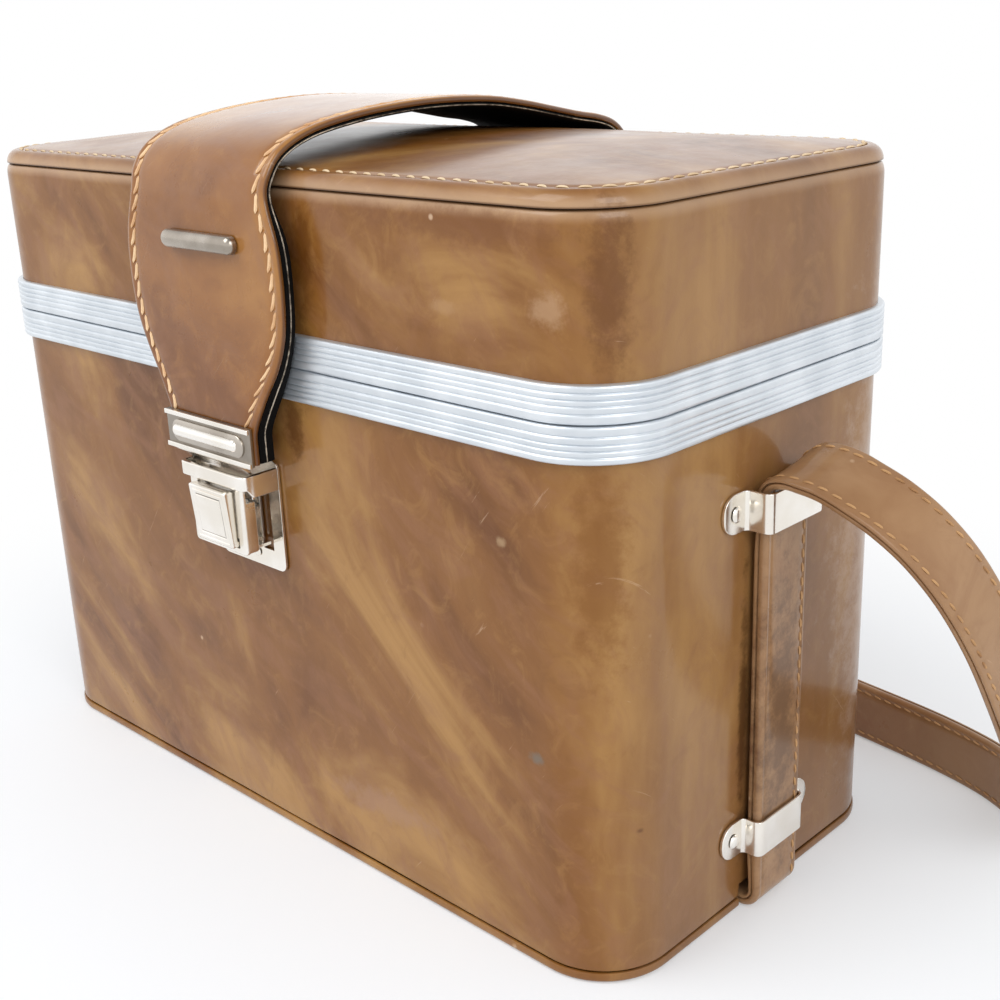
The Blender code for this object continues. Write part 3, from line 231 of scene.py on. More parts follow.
def build(name, patches, finishes, body, stands_for=(), crease=50):
    """A named piece from its patches: doubles merged, faces outward, edges sharp past a crease angle."""
    corners, places, finish, start = [], [], [], 0
    for patch in patches:
        numbers, spots = patch.faces(start)
        corners.append(numbers)
        places.append(spots)
        finish.append(np.full(len(numbers), patch.finish))
        start += patch.points[..., 0].size
    corners, finish = np.concatenate(corners), np.concatenate(finish)
    mesh = bpy.data.meshes.new(name)
    mesh.from_pydata(np.concatenate([patch.points.reshape(-1, 3) for patch in patches]), [], corners)
    mesh.polygons.foreach_set("material_index", finish.astype(np.int32))
    layer = mesh.uv_layers.new(name="surface")
    layer.data.foreach_set("uv", np.concatenate(places).astype(np.float32).ravel())
    tidy_mesh(mesh, crease)
    return dress(placed(name, mesh), finishes, body, stands_for)


def placed(name, data):
    """A new object in the scene, made of a mesh, a camera or a lamp."""
    thing = bpy.data.objects.new(name, data)
    bpy.context.scene.collection.objects.link(thing)
    return thing


def tidy_mesh(mesh, crease, solid=False):
    """Merges doubles, turns faces outward and marks edges past an angle as sharp. A solid's faces look
    outward already, and its flat ones are made whole."""
    bm = bmesh.new()
    bm.from_mesh(mesh)
    bmesh.ops.remove_doubles(bm, verts=bm.verts, dist=WELD)
    if solid:
        bmesh.ops.dissolve_limit(bm, angle_limit=math.radians(1), verts=bm.verts, edges=bm.edges)
    else:
        bmesh.ops.recalc_face_normals(bm, faces=bm.faces)
    bm.to_mesh(mesh)
    bm.free()
    mesh.shade_smooth()
    mesh.set_sharp_from_angle(angle=math.radians(crease))


def dress(piece, finishes, body, stands_for):
    """Gives a piece its materials, the body that it rides on and the nodes that it stands for."""
    if piece.data.materials:
        piece.data.materials.clear()
    for finish in finishes:
        piece.data.materials.append(finish)
    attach(piece, body)
    if stands_for:
        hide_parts(*stands_for)
    return piece


def turned(profile, seat, direction, around_points=32):
    """A profile of (radius, height) turned about a direction from a seat."""
    radius, height = np.array(profile, float).T
    axis = unit(np.array(direction, float))
    side = unit(np.cross(axis, Z if abs(axis[2]) < 0.9 else X))
    other = np.cross(axis, side)
    angle = np.linspace(0, 2 * math.pi, around_points, endpoint=False)[None, :, None]
    ring = side * np.cos(angle) + other * np.sin(angle)
    return np.array(seat) + axis * height[:, None, None] + ring * radius[:, None, None]


def mounded(half_x, half_y, corner, steps, seat, right, up, turns=None):
    """A raised shape over a rounded rectangle: each step of (inset, height) is a ring of it, and the
    last ring shrinks to the middle line, so that the face closes."""
    turns = outline(16, 8, 12) if turns is None else turns
    inset, height = np.array(steps, float).T
    inset, height = inset[:, None], height[:, None]
    x, y = outline_spots(turns, half_x - inset, half_y - inset, np.clip(corner - inset, 0, None))
    return seat + x[..., None] * right + y[..., None] * up + height[..., None] * np.cross(right, up)


def stitches(route, sides, ups, pitch, length, width, tilt):
    """Short threads along a route, each a little arch whose ends sink in: a spindle of six sides."""
    travelled = along(route)
    count = int(travelled[-1] // pitch)
    share = np.linspace(0, 1, 7)
    middles = (np.arange(count) + 0.5) * travelled[-1] / count
    spots = middles[:, None] + (share - 0.5) * length

    def at(column_rows):
        """Rows of numbers along the route, read at every point of every stitch."""
        return np.stack([np.interp(spots, travelled, column) for column in column_rows.T], axis=-1)

    centre, side, up = at(route), unit(at(sides)), unit(at(ups))
    swell = np.sqrt(np.clip(1 - (2 * share - 1) ** 4, 0, 1))[None, :, None, None]
    angle = np.linspace(0, 2 * math.pi, 6, endpoint=False)[None, None, :, None]
    lean = (tilt * (share - 0.5))[None, :, None, None] * length * side[:, :, None]
    rise = (0.25 * width * (1 - (2 * share - 1) ** 2))[None, :, None, None]
    around_it = side[:, :, None] * np.cos(angle) + 0.7 * up[:, :, None] * np.sin(angle)
    return centre[:, :, None] + lean + rise * up[:, :, None] + around_it * swell * width / 2


# Materials


def srgb(red, green, blue):
    """A colour as a screen shows it, from 0 to 255, as a shader takes it."""
    shown = np.array((red, green, blue)) / 255
    return (*np.where(shown < 0.04045, shown / 12.92, ((shown + 0.055) / 1.055) ** 2.4), 1.0)


class Nodes:
    """Short calls for the nodes of a material's patterns or of the world's light."""

    def __init__(self, tree):
        self.tree = tree
        self.spots = tree.nodes.new("ShaderNodeTexCoord")

    def node(self, kind, settings=(), **inputs):
        """A new node of a kind with its settings, its inputs filled with values or linked."""
        made = self.tree.nodes.new("ShaderNode" + kind)
        for key, value in dict(settings).items():
            setattr(made, key, value)
        for key, value in inputs.items():
            self.put(made.inputs[key.replace("_", " ").strip()], value)
        return made

    def put(self, socket, value):
        """Links a socket's source to an input, or gives it a plain value."""
        if isinstance(value, bpy.types.NodeSocket):
            self.tree.links.new(value, socket)
        else:
            socket.default_value = value

    def spot(self, scale=(1, 1, 1), turn=(0, 0, 0)):
        """Places on the piece, turned and then scaled."""
        turned_to = self.node("Mapping", Vector=self.spots.outputs["Object"], Rotation=turn)
        return self.node("Mapping", Vector=turned_to.outputs[0], Scale=scale).outputs[0]

    def mark(self, centre, reach):
        """A ragged spot: 1 near its centre and 0 beyond its reach, both in mm."""
        sizes = np.array(reach) * MM
        near = self.node("Mapping", Vector=self.spots.outputs["Object"], Scale=tuple(1 / sizes),
                         Location=tuple(-np.array(centre) * MM / sizes))
        away = self.node("VectorMath", dict(operation="LENGTH"), Vector=near.outputs[0]).outputs["Value"]
        ragged = self.noise(150, detail=5, rough=0.7)
        return self.ramp(self.plus(away, self.times(ragged, 1.6)), 1.0, 1.7, 1.0, 0.0)

    def noise(self, scale, spot=None, detail=4.0, rough=0.55, distort=0.0):
        """A cloud of values from 0 to 1."""
        spot = self.spot() if spot is None else spot
        return self.node(
            "TexNoise", Vector=spot, Scale=scale, Detail=detail, Roughness=rough, Distortion=distort
        ).outputs["Fac"]

    def cells(self, scale, feature="F1"):
        """The distance from the middle of scattered cells."""
        return self.node(
            "TexVoronoi", dict(feature=feature), Vector=self.spot(), Scale=scale, Randomness=1.0
        ).outputs["Distance"]

    def ramp(self, value, low, high, to_low=0.0, to_high=1.0):
        """A smooth step from one value at low to another at high."""
        return self.node("MapRange", dict(interpolation_type="SMOOTHSTEP"), **{
            "Value": value, "From_Min": low, "From_Max": high, "To_Min": to_low, "To_Max": to_high
        }).outputs[0]

    def sums(self, operation, first, second=0.0):
        """One sum of two values."""
        made = self.tree.nodes.new("ShaderNodeMath")
        made.operation = operation
        self.put(made.inputs[0], first)
        self.put(made.inputs[1], second)
        return made.outputs[0]

    def plus(self, first, second):
        """Two values added."""
        return self.sums("ADD", first, second)

    def times(self, first, second):
        """Two values multiplied."""
        return self.sums("MULTIPLY", first, second)

    def magnitude(self, value):
        """A value without its sign."""
        return self.sums("ABSOLUTE", value)

    def mix(self, share, first, second, plain=False):
        """Two colours, or plain numbers, mixed, the second by a share."""
        made = self.tree.nodes.new("ShaderNodeMix")
        made.data_type, sockets, result = ("FLOAT", (0, 2, 3), 0) if plain else ("RGBA", (0, 6, 7), 2)
        for socket, value in zip(sockets, (share, first, second)):
            self.put(made.inputs[socket], value)
        return made.outputs[result]

    def bump(self, height, distance, strength, under=None):
        """Normals that follow a height, over the normals of another bump."""
        made = self.node("Bump", Height=height, Distance=distance, Strength=strength)
        if under is not None:
            self.put(made.inputs["Normal"], under)
        return made.outputs[0]


class Finish(Nodes):
    """A material under way, with its shader."""

    def __init__(self, name, **sockets):
        self.material = bpy.data.materials.new(name)
        self.material.use_nodes = True
        super().__init__(self.material.node_tree)
        self.shader = self.tree.nodes["Principled BSDF"]
        for socket, value in sockets.items():
            socket = socket.replace("_", " ").title().replace("Ior", "IOR")
            self.shader.inputs[socket].default_value = value

    def done(self, colour, roughness, normal):
        """The material with its three maps linked to its shader."""
        for socket, value in (("Base Color", colour), ("Roughness", roughness), ("Normal", normal)):
            self.put(self.shader.inputs[socket], value)
        return self.material


LEATHER_DARK = srgb(104, 60, 19)
LEATHER_MID = srgb(131, 84, 35)
LEATHER_LIGHT = srgb(171, 127, 71)
LEATHER_ROSE = srgb(142, 96, 64)
LEATHER_WEAR_AND_HIGHLIGHT = srgb(204, 172, 140)
# painted sheen: the greyer tone of the end walls
LEATHER_END_SHEEN = srgb(144, 108, 72)
LEATHER_GROOVE = srgb(84, 52, 24)
# Marks on the covering, some of them wear and some painted shade, painted shadow and painted sheen: where
# each is in mm, its reach along X, Y and Z, its colour and its strength
COVER_MARKS = (
    # painted shade: darker bands down the front right corner of the lid and of the body
    ((160, -70, 222), (10, 11, 40), srgb(94, 51, 11), 0.62),
    ((155, -70, 140), (13, 13, 50), srgb(124, 76, 20), 0.65),
    ((112, -78, 236), (60, 12, 7), srgb(112, 66, 30), 0.5),
    ((144, -77, 215), (8, 9, 7), srgb(200, 164, 128), 0.4),
    ((104, -78, 212), (9, 6, 3), srgb(180, 142, 104), 0.3),
    ((136, -78, 76), (4, 6, 3.2), srgb(112, 104, 92), 0.75),
    ((163, -62, 54), (1.6, 2.2, 1.4), srgb(86, 46, 16), 0.6),
    ((124, -78, 144), (3, 5, 2.4), srgb(190, 160, 120), 0.5),
    ((60, -78, 30), (40, 8, 9), srgb(160, 120, 92), 0.6),
    # painted shadow of the carry strap on the lid and body front, along its right edge
    ((41, -78, 222), (7, 9, 24), srgb(88, 48, 14), 0.55),
    ((38, -78, 188), (7, 9, 22), srgb(88, 48, 14), 0.55),
    ((28, -78, 164), (8, 9, 22), srgb(84, 44, 12), 0.65),
    # painted shadow in the gap between the right end wall and the shoulder strap's held run, along its
    # front edge
    ((165, -11, 74), (9, 3.6, 70), srgb(60, 32, 12), 0.7),
    # painted sheen on the right end's rear corner
    ((160, 72, 112), (22, 42, 130), srgb(184, 158, 138), 0.5),
)


def leather(name, tones, streak, across=(5, 16, 3), marks=(), gloss=(0.27, 0.42), coat=0.5,
            lit_rubbed_band=None, side_shade=None):
    """Marbled brown covering: clouds in three browns drawn out on a slant along the front and upright
    at the ends, rosy veins and crinkles.

    Over them lie a pale band between two levels with a dark groove, which is painted highlight where
    the rolled edge catches the light and rubbed wear too; a greyer tone on the end walls, a painted
    sheen; its own marks, some of them painted shade, shadow and sheen; painted shade on the sides
    that face along X; fine scratches and nicks. The grain is finely pebbled.
    """
    look = Finish(name, specular_ior_level=0.12, coat_weight=coat, coat_roughness=0.14)
    dark, mid, light = tones
    slant = (0, -0.72, 0)
    spots = look.node("SeparateXYZ", Vector=look.spots.outputs["Object"])
    side = spots.outputs["X"]
    at_end = look.ramp(look.magnitude(side), 0.125, 0.165)
    front = look.noise(1.0, look.spot(streak, slant), detail=6, rough=0.55, distort=1.2)
    ends = look.noise(1.0, look.spot(across), detail=5, rough=0.55, distort=0.6)
    clouds = look.plus(look.times(front, look.sums("SUBTRACT", 1.0, at_end)), look.times(ends, at_end))
    colour = look.mix(look.ramp(clouds, 0.33, 0.5), dark, mid)
    colour = look.mix(look.ramp(clouds, 0.48, 0.66), colour, light)
    fine_streak = tuple(3 * s for s in streak)
    veins = look.noise(1.0, look.spot(fine_streak, slant), detail=4, rough=0.6, distort=2.2)
    colour = look.mix(look.ramp(veins, 0.42, 0.7, 0.0, 0.5), colour, LEATHER_ROSE)
    crinkle = look.noise(70, detail=6, rough=0.65, distort=1.2)
    colour = look.mix(look.ramp(crinkle, 0.5, 0.72, 0.0, 0.3), colour, light)
    colour = look.mix(look.ramp(crinkle, 0.28, 0.46, 0.2, 0.0), colour, dark)
    # painted highlight and rubbed wear: a pale band along the lid's rolled upper edge and the top's edge
    if lit_rubbed_band:
        low, high = lit_rubbed_band
        level = look.plus(spots.outputs["Z"], look.times(look.noise(30, detail=4), 2 * MM))
        fading = look.ramp(level, high - 4 * MM, high, 0.5, 0.0)
        band = look.times(look.ramp(level, low, low + 4 * MM), fading)
        colour = look.mix(band, colour, LEATHER_WEAR_AND_HIGHLIGHT)
        from_groove = look.magnitude(look.sums("SUBTRACT", spots.outputs["Z"], LID_HIGH[2] + 0.1 * MM))
        colour = look.mix(look.ramp(from_groove, 0.3 * MM, 0.9 * MM, 0.8, 0.0), colour, LEATHER_GROOVE)
    # painted sheen: the end walls, past 155 mm out along X, are tinted greyer
    colour = look.mix(look.ramp(look.magnitude(side), 0.155, 0.168, 0.0, 0.45), colour, LEATHER_END_SHEEN)
    for centre, reach, tone, strength in marks:
        colour = look.mix(look.times(look.mark(centre, reach), strength), colour, tone)
    # painted shade: faces that turn along X are darkened
    if side_shade:
        facing = look.node("SeparateXYZ", Vector=look.spots.outputs["Normal"]).outputs["X"]
        colour = look.mix(look.ramp(look.magnitude(facing), 0.6, 0.95, 0.0, 0.8), colour, side_shade)
    scratches = look.noise(9, look.spot((3, 3, 55), turn=(0.9, 0.7, 0)), detail=6, rough=0.7, distort=0.6)
    scratch = look.ramp(scratches, 0.66, 0.72)
    colour = look.mix(look.times(scratch, 0.35), colour, LEATHER_WEAR_AND_HIGHLIGHT)
    nick = look.ramp(look.cells(45), 0.03, 0.06, 1.0, 0.0)
    nick = look.times(nick, look.ramp(look.noise(60, detail=1), 0.52, 0.6, 0.0, 0.8))
    colour = look.mix(nick, colour, LEATHER_WEAR_AND_HIGHLIGHT)
    cloudy = look.noise(26, detail=6, rough=0.7)
    rough = look.plus(look.ramp(cloudy, 0.3, 0.7, *gloss), look.times(scratch, 0.15))
    normal = look.bump(look.cells(1500, feature="SMOOTH_F1"), 0.00005, 0.4)
    normal = look.bump(look.noise(160, detail=5, rough=0.65), 0.00016, 0.6, under=normal)
    return look.done(colour, rough, normal)


def plain_cloth(name, base, other, scale=900, rough=(0.85, 1.0), sheen=0.3):
    """Dense cloth, lining or a cut edge: a fibrous noise in two tones, with a little sheen."""
    look = Finish(name, sheen_weight=sheen, specular_ior_level=0.15)
    fibres = look.noise(scale, detail=6, rough=0.75)
    patches = look.noise(25, detail=3)
    colour = look.mix(look.ramp(look.times(fibres, patches), 0.15, 0.35), base, other)
    rough_map = look.ramp(patches, 0.3, 0.7, *rough)
    return look.done(colour, rough_map, look.bump(fibres, 0.0004, 0.8))


def metal(name, base, other, rough=(0.15, 0.26), lines=0.04, wear=0.12, share=1.0):
    """Plated or drawn metal: a faint clouded tone, fine lines one way, and a few small scratches."""
    look = Finish(name, metallic=share)
    clouds = look.noise(60, detail=3, rough=0.5)
    drawn = look.noise(3, look.spot((30, 30, 900)), detail=3, rough=0.6)
    scratches = look.noise(20, look.spot((20, 90, 8), turn=(0.5, 0.8, 0.2)), detail=5)
    scratch = look.ramp(scratches, 0.68, 0.72)
    colour = look.mix(look.ramp(clouds, 0.35, 0.7), base, other)
    worn = look.plus(look.times(scratch, wear), look.ramp(clouds, 0.3, 0.75, *rough))
    rough_map = look.plus(worn, look.times(drawn, lines))
    return look.done(colour, rough_map, look.bump(drawn, 0.00001, 0.2))


def thread_finish(name, clean, soiled):
    """Waxed thread: two strands' twist across each stitch, a little soiled."""
    look = Finish(name, specular_ior_level=0.35)
    twist = look.noise(700, detail=2)
    soil = look.noise(45, detail=3)
    colour = look.mix(look.ramp(soil, 0.45, 0.7), clean, soiled)
    return look.done(colour, look.ramp(twist, 0.3, 0.7, 0.5, 0.75), look.bump(twist, 0.0002, 0.8))


# The covering; its pale band near the groove is painted highlight with rubbed wear
COVER = leather(
    "marbled_leatherette", (LEATHER_DARK, LEATHER_MID, LEATHER_LIGHT), (6, 13, 13), marks=COVER_MARKS,
    lit_rubbed_band=(LID_HIGH[2] - 3.4 * MM, LID_HIGH[2] + 6 * MM),
)
# The carry strap's leather: its sides, which face along X, get a painted shade
STRAP_BROWN = leather(
    "strap_leather", (srgb(112, 64, 21), srgb(145, 92, 38), srgb(170, 118, 58)), (6, 12, 9),
    gloss=(0.24, 0.38), coat=0.8, side_shade=srgb(84, 48, 18),
)
RAW_EDGE = plain_cloth("raw_leather_edge", srgb(58, 46, 34), srgb(214, 200, 180), scale=420, sheen=0.0)
EDGE_DYE = plain_cloth(
    "dyed_leather_edge", srgb(88, 52, 22), srgb(132, 86, 44), rough=(0.4, 0.6), sheen=0.0
)
BLACK_LINING = plain_cloth(
    "black_lining", srgb(2, 2, 2), srgb(13, 12, 12), rough=(0.8, 0.95), sheen=0.0
)
PLUSH = plain_cloth("plush_lining", srgb(88, 22, 24), srgb(128, 40, 40), scale=1400, sheen=0.6)
NICKEL = metal("nickel_plate", srgb(237, 231, 221), srgb(247, 243, 237))
# Darker copies of the nickel as painted shade: half shade for the bars and the tongue's swell, deep shade
# for the tongue's plate and the button's engraved line
NICKEL_HALF_SHADE = metal("nickel_painted_half_shade", srgb(158, 149, 138), srgb(190, 182, 172), rough=(0.2, 0.3))
SHADED_NICKEL = metal(
    "nickel_painted_shade", srgb(122, 114, 105), srgb(158, 150, 140), rough=(0.24, 0.34)
)
ALUMINIUM = metal(
    "valance_aluminium", srgb(210, 216, 222), srgb(224, 229, 234), rough=(0.33, 0.39), lines=0.05,
    wear=0.03, share=0.75,
)
STEEL = metal("steel", srgb(168, 168, 168), srgb(196, 196, 196), rough=(0.22, 0.34))
PALE_THREADS = thread_finish("pale_thread", srgb(230, 206, 170), srgb(202, 172, 132))
THREADS = thread_finish("cream_thread", srgb(240, 204, 160), srgb(210, 160, 112))
BROWN_THREADS = thread_finish("brown_thread", srgb(196, 152, 104), srgb(150, 106, 66))
SHOULDER_BROWN = leather(
    "shoulder_strap_leather", (srgb(124, 84, 52), srgb(156, 114, 78), srgb(182, 142, 104)), (9, 9, 9),
    across=(9, 14, 5), gloss=(0.26, 0.4),
    # painted shade with a greyish painted sheen: the held run's face darker and greyer than the loop
    marks=(((168, 2, 66), (12, 22, 92), srgb(100, 72, 51), 0.8),
           ((166, -13, 74), (12, 4, 96), srgb(124, 68, 34), 0.75)),
)


# The shoulder strap: its section, its held run and its free loop

SHOULDER_HALF = 12 * MM
SHOULDER_THICK = 4 * MM
SHOULDER_STITCH = 2.7 * MM
# Pitch, length and width of each kind of stitch
SHOULDER_STITCHES = (4.8 * MM, 3.6 * MM, 0.9 * MM)
CARRY_STITCHES = (6.2 * MM, 6.7 * MM, 1.6 * MM)
TOP_STITCHES = (6.4 * MM, 4.4 * MM, 1.2 * MM)
# Half of the strap's section from the middle of its underside round to the middle of its face:
# how far in from the edge, and how high as a share of the thickness. Two layers show at the edge.
SHOULDER_EDGE_SHARES = (
    (6.0, 0.0), (0.8, 0.0), (0.25, 0.04), (0.0, 0.14), (0.1, 0.26), (1.2, 0.34), (1.2, 0.38),
    (0.15, 0.44), (0.0, 0.58), (0.05, 0.74), (0.4, 0.9), (1.0, 0.985), (1.7, 1.0), (2.2, 0.97),
    (2.7, 0.925), (3.2, 0.96), (4.0, 0.99), (6.0, 0.985),
)


def strap_section(edge_shares, halves, thickness):
    """A strap's closed section: the edge table on both sides, for each path point's half width.
    Returns how far across and how high each point of it stands."""
    inset, height = np.array(edge_shares).T
    halves = np.atleast_1d(halves)[:, None]
    right = halves - inset * MM
    across = np.concatenate([right, -right[:, ::-1]], axis=1)
    rise = np.concatenate([height, height[::-1]])[None] * thickness
    return across, np.broadcast_to(rise, across.shape)


def strap_piece(name, points, route, across, height, finish, body, stands_for):
    """A strap from its carried section, closed at both ends, and the distances of its map."""
    lengths = along(route)
    lengths = np.concatenate([[0], lengths, [lengths[-1]]])
    widths = along(np.column_stack([across[0], height[0]]))
    patch = Patch(capped(points), lengths=lengths, widths=widths)
    return build(name, [patch], [finish], body, stands_for, crease=60)


def shoulder_piece(name, route, sides, ups, node, deepen=1.0):
    """A length of the shoulder strap along a route on its mid height. Where deepen is over 1 its
    underside stands lower and its face stays."""
    halves = np.full(len(route), SHOULDER_HALF)
    across, height = strap_section(SHOULDER_EDGE_SHARES, halves, SHOULDER_THICK)
    below = (SHOULDER_THICK - height) * np.broadcast_to(deepen, len(route))[:, None]
    points = carried(route, sides, ups, across, SHOULDER_THICK / 2 - below)
    return strap_piece(
        name, points, route, across, height, SHOULDER_BROWN, "case", [node]
    )


def strap_stitches(name, route, sides, ups, offset, rises, body, finish, size, tilt=0.12, edges=(-1, 1)):
    """A row of stitches along each of the strap's edges, at an offset from its middle line, for every
    height from the route."""
    rows = []
    for side in edges:
        for rise in rises:
            line = route + sides * np.reshape(offset, (-1, 1)) * side + ups * rise
            rows.append(Patch(stitches(line, sides, ups * np.sign(rise), *size, tilt)))
    return build(name, rows, [finish], body, crease=35)


# The free loop's right half, as chosen for the solid: places in mm and the lean of its width
LOOP_ROUTE = (
    ((169.7, 0, 147.1), 0), ((169.9, 0, 150.8), 2), ((172.6, 0, 154.6), 9), ((178.5, 0.3, 157.0), 18),
    ((187, 1, 156.2), 21), ((196, 2.5, 152.4), 22), ((205, 5, 147), 24), ((214, 9, 138.5), 27),
    ((222, 15, 126), 32), ((228, 23, 109.5), 38), ((231.5, 33, 90), 46), ((233, 45, 69), 56),
    ((232, 58, 48), 66), ((228.5, 72, 31), 76), ((221.5, 86, 19.5), 84), ((210, 98, 14), 88),
    ((194, 107, 12.6), 90), ((172, 113, 12.4), 90), ((140, 118, 12.4), 90), ((95, 123.5, 12.4), 90),
    ((45, 127.5, 12.4), 90), ((0, 129, 12.4), 90),
)
LOOP_PARTS = 16


def loop_frames():
    """The free loop's centreline and, along it, the direction of its width and of its face."""
    right = np.array([(*spot, lean) for spot, lean in LOOP_ROUTE], float)
    left = right[-2::-1] * (-1, 1, 1, 1)
    rows = curve_through(np.vstack([right, left]) * (MM, MM, MM, 1), LOOP_PARTS)
    route, lean = rows[:, :3] + Y * CENTRE_Y, np.radians(rows[:, 3])
    tangents = unit(np.gradient(route, axis=0))
    sides = np.stack([np.zeros(len(lean)), np.cos(lean), np.sin(lean)], axis=1)
    sides = unit(sides - (sides * tangents).sum(axis=1)[:, None] * tangents)
    return route, sides, np.cross(sides, tangents)


def shoulder_loop():
    """The free length of the shoulder strap, with a row of stitches along each edge."""
    route, sides, ups = loop_frames()
    strap = shoulder_piece("shoulder_strap_free_loop", route, sides, ups, "shoulder_strap_loop")
    rows = strap_stitches(
        "shoulder_loop_stitches", route, sides, ups, SHOULDER_HALF - SHOULDER_STITCH,
        (SHOULDER_THICK * 0.44, SHOULDER_THICK * -0.5), "case", BROWN_THREADS, SHOULDER_STITCHES,
    )


# The covered board: body walls, lid walls, lid top and the rim at the foot

NOTCH_HALF = 13 * MM
NOTCH_HIGH = 8.5 * MM
NOTCH_EASE = 0.5 * MM
EDGE_ROUND = 1.0 * MM
LID_ROUND = 4.4 * MM
GROOVE_IN = 1.9 * MM
COVER_WAVE = 0.16 * MM
COVER_WAVE_SIZE = 70 * MM
NOTCH_EDGES = np.array((-1, 1, -1, 1)) * (NOTCH_HALF + np.array((0, 0, 1, 1)) * NOTCH_EASE)
NOTCH_CUTS = 0.5 + NOTCH_EDGES / STRAIGHT_Y / 2


def settle(points, strength, seed, size=COVER_WAVE_SIZE):
    """Moves a covering in and out a little, level by level, as glued cloth over board does."""
    middle = np.array((0, CENTRE_Y, 0))
    level = points - middle
    level[..., 2] = 0
    return points + unit(level + 1e-9) * (ripple(points, seed, size) * strength)[..., None]


def body_walls():
    """The body's walls: an outer face with rounded edges, a thin top edge and an inner face. The foot
    rises over the notches where the shoulder strap turns under."""
    top, low = WALL_HIGH[2], WALL_LOW[2]
    foot = rounding((-EDGE_ROUND, low), (EDGE_ROUND, EDGE_ROUND), 5, steep=False)
    face = [(0, z) for z in np.linspace(low + EDGE_ROUND, top, 34)[1:]]
    inner = [(-WALL, top), (-WALL, (top + low) / 2), (-WALL, low)]
    turns = outline(cuts=NOTCH_CUTS)
    points = around([*foot, *face, *inner], turns)
    ends = np.abs(points[..., 0]) > HALF_X - CORNER
    beside = np.abs(points[..., 1] - CENTRE_Y)
    lift = (NOTCH_HIGH - low) * (1 - ease(beside, NOTCH_HALF, NOTCH_HALF + NOTCH_EASE)) * ends
    points[..., 2] += lift * (1 - ease(points[..., 2], low, low + 40 * MM))
    outer = slice(0, len(foot) + len(face))
    points[outer] = settle(points[outer], COVER_WAVE, 3)
    walls = Patch(points, closed=True)
    build("body_covering", [walls], [COVER], "case", ["body_shell"])


def lid_walls():
    """The lid's walls, whose upper edge rolls in to the groove under the top panel."""
    low, top = LID_LOW[2], LID_HIGH[2]
    roll = rounding((0, top - LID_ROUND), (-GROOVE_IN, LID_ROUND), 8)
    face = [(0, z) for z in np.linspace(low, top - LID_ROUND, 16)[:-1]]
    inner = [(-WALL, top), (-WALL, (top + low) / 2), (-WALL, low)]
    points = around([*face, *roll, *inner], outline())
    outer = slice(0, len(face) + len(roll) - 2)
    points[outer] = settle(points[outer], COVER_WAVE, 5)
    walls = Patch(points, closed=True)
    build("lid_covering", [walls], [COVER], "lid", ["lid_shell"])


TOP_LOW, TOP_HIGH = place("lid_top_panel")
TOP_EDGE = 5 * MM
TOP_INSET = 0.5 * MM
TOP_STITCH_IN = 6.2 * MM
SEAM_DIP = 0.35 * MM
GROOVE = LID_HIGH[2] + GAP


def top_level(inset):
    """Height of the lid's top at a distance in from the walls' face: a quarter round edge, a seam dip
    at the stitches and a crown that flattens towards the middle."""
    edge = TOP_INSET + TOP_EDGE
    inside = np.clip((edge - inset) / TOP_EDGE, 0, 1)
    rise = TOP_EDGE * np.sqrt(np.clip(1 - inside**2, 0, 1))
    share = np.clip((inset - edge) / (HALF_Y - edge), 0, 1)
    crown = (TOP_HIGH[2] - GROOVE - TOP_EDGE) * (1 - (1 - share) ** 2)
    return GROOVE + rise + crown - SEAM_DIP * bump_at(inset, TOP_STITCH_IN, 1.1 * MM)


def top_ring(inset, turns):
    """The lid top's outline at distances in from the walls' face, with corners that tighten slowly."""
    inset = np.asarray(inset, float)[:, None]
    share = np.clip((inset - TOP_EDGE) / (HALF_Y - TOP_EDGE), 0, 1)
    inner_corner = (CORNER - TOP_EDGE) * (1 - 0.5 * share)
    corner = np.minimum(np.where(inset < TOP_EDGE, CORNER - inset, inner_corner), HALF_Y - inset)
    x, y = outline_spots(turns, HALF_X - inset, HALF_Y - inset, corner)
    return x, CENTRE_Y + y


def lid_top():
    """The lid's top panel as rings from the groove over its round edge to the middle line, and the
    row of stitches inside its edge."""
    turns = outline(60, 24, 24)
    edge = TOP_INSET + TOP_EDGE * (1 - np.cos(np.linspace(0, math.pi / 2, 10)))
    dip = np.arange(TOP_EDGE + 0.7 * MM, 9 * MM, 0.4 * MM)
    inset = np.concatenate([edge, dip, np.linspace(9 * MM, HALF_Y, 26)])
    x, y = top_ring(inset, turns)
    z = np.broadcast_to(top_level(inset)[:, None], x.shape).copy()
    panel = np.stack([x, y, z], axis=-1)
    panel[..., 2] += 0.25 * MM * ripple(panel, 11, 90 * MM) * ease(inset, 9 * MM, 20 * MM)[:, None]
    plug = around([(-WALL - GAP, TOP_LOW[2]), (-WALL - GAP, GROOVE), (-TOP_INSET, GROOVE)], turns)
    x, y = top_ring([WALL + GAP, HALF_Y], turns)
    under = np.stack([x, y, np.full(x.shape, TOP_LOW[2])], axis=-1)
    patches = [Patch(part) for part in (panel, plug, under)]
    build("lid_top_covering", patches, [COVER], "lid", ["lid_top_panel"])
    x, y = top_ring([TOP_STITCH_IN], turns)
    route = np.stack([x[0], y[0], np.full(len(turns), top_level(TOP_STITCH_IN))], axis=-1)
    route = np.concatenate([route, route[:1]])
    outward = np.stack([np.cos(turns[:, 2]), np.sin(turns[:, 2]), np.zeros(len(turns))], axis=-1)
    outward = np.concatenate([outward, outward[:1]])
    ups = np.broadcast_to(Z, route.shape)
    rows = Patch(stitches(route, outward, ups, *TOP_STITCHES, 0.2))
    build("lid_top_stitches", [rows], [PALE_THREADS], "lid", crease=35)


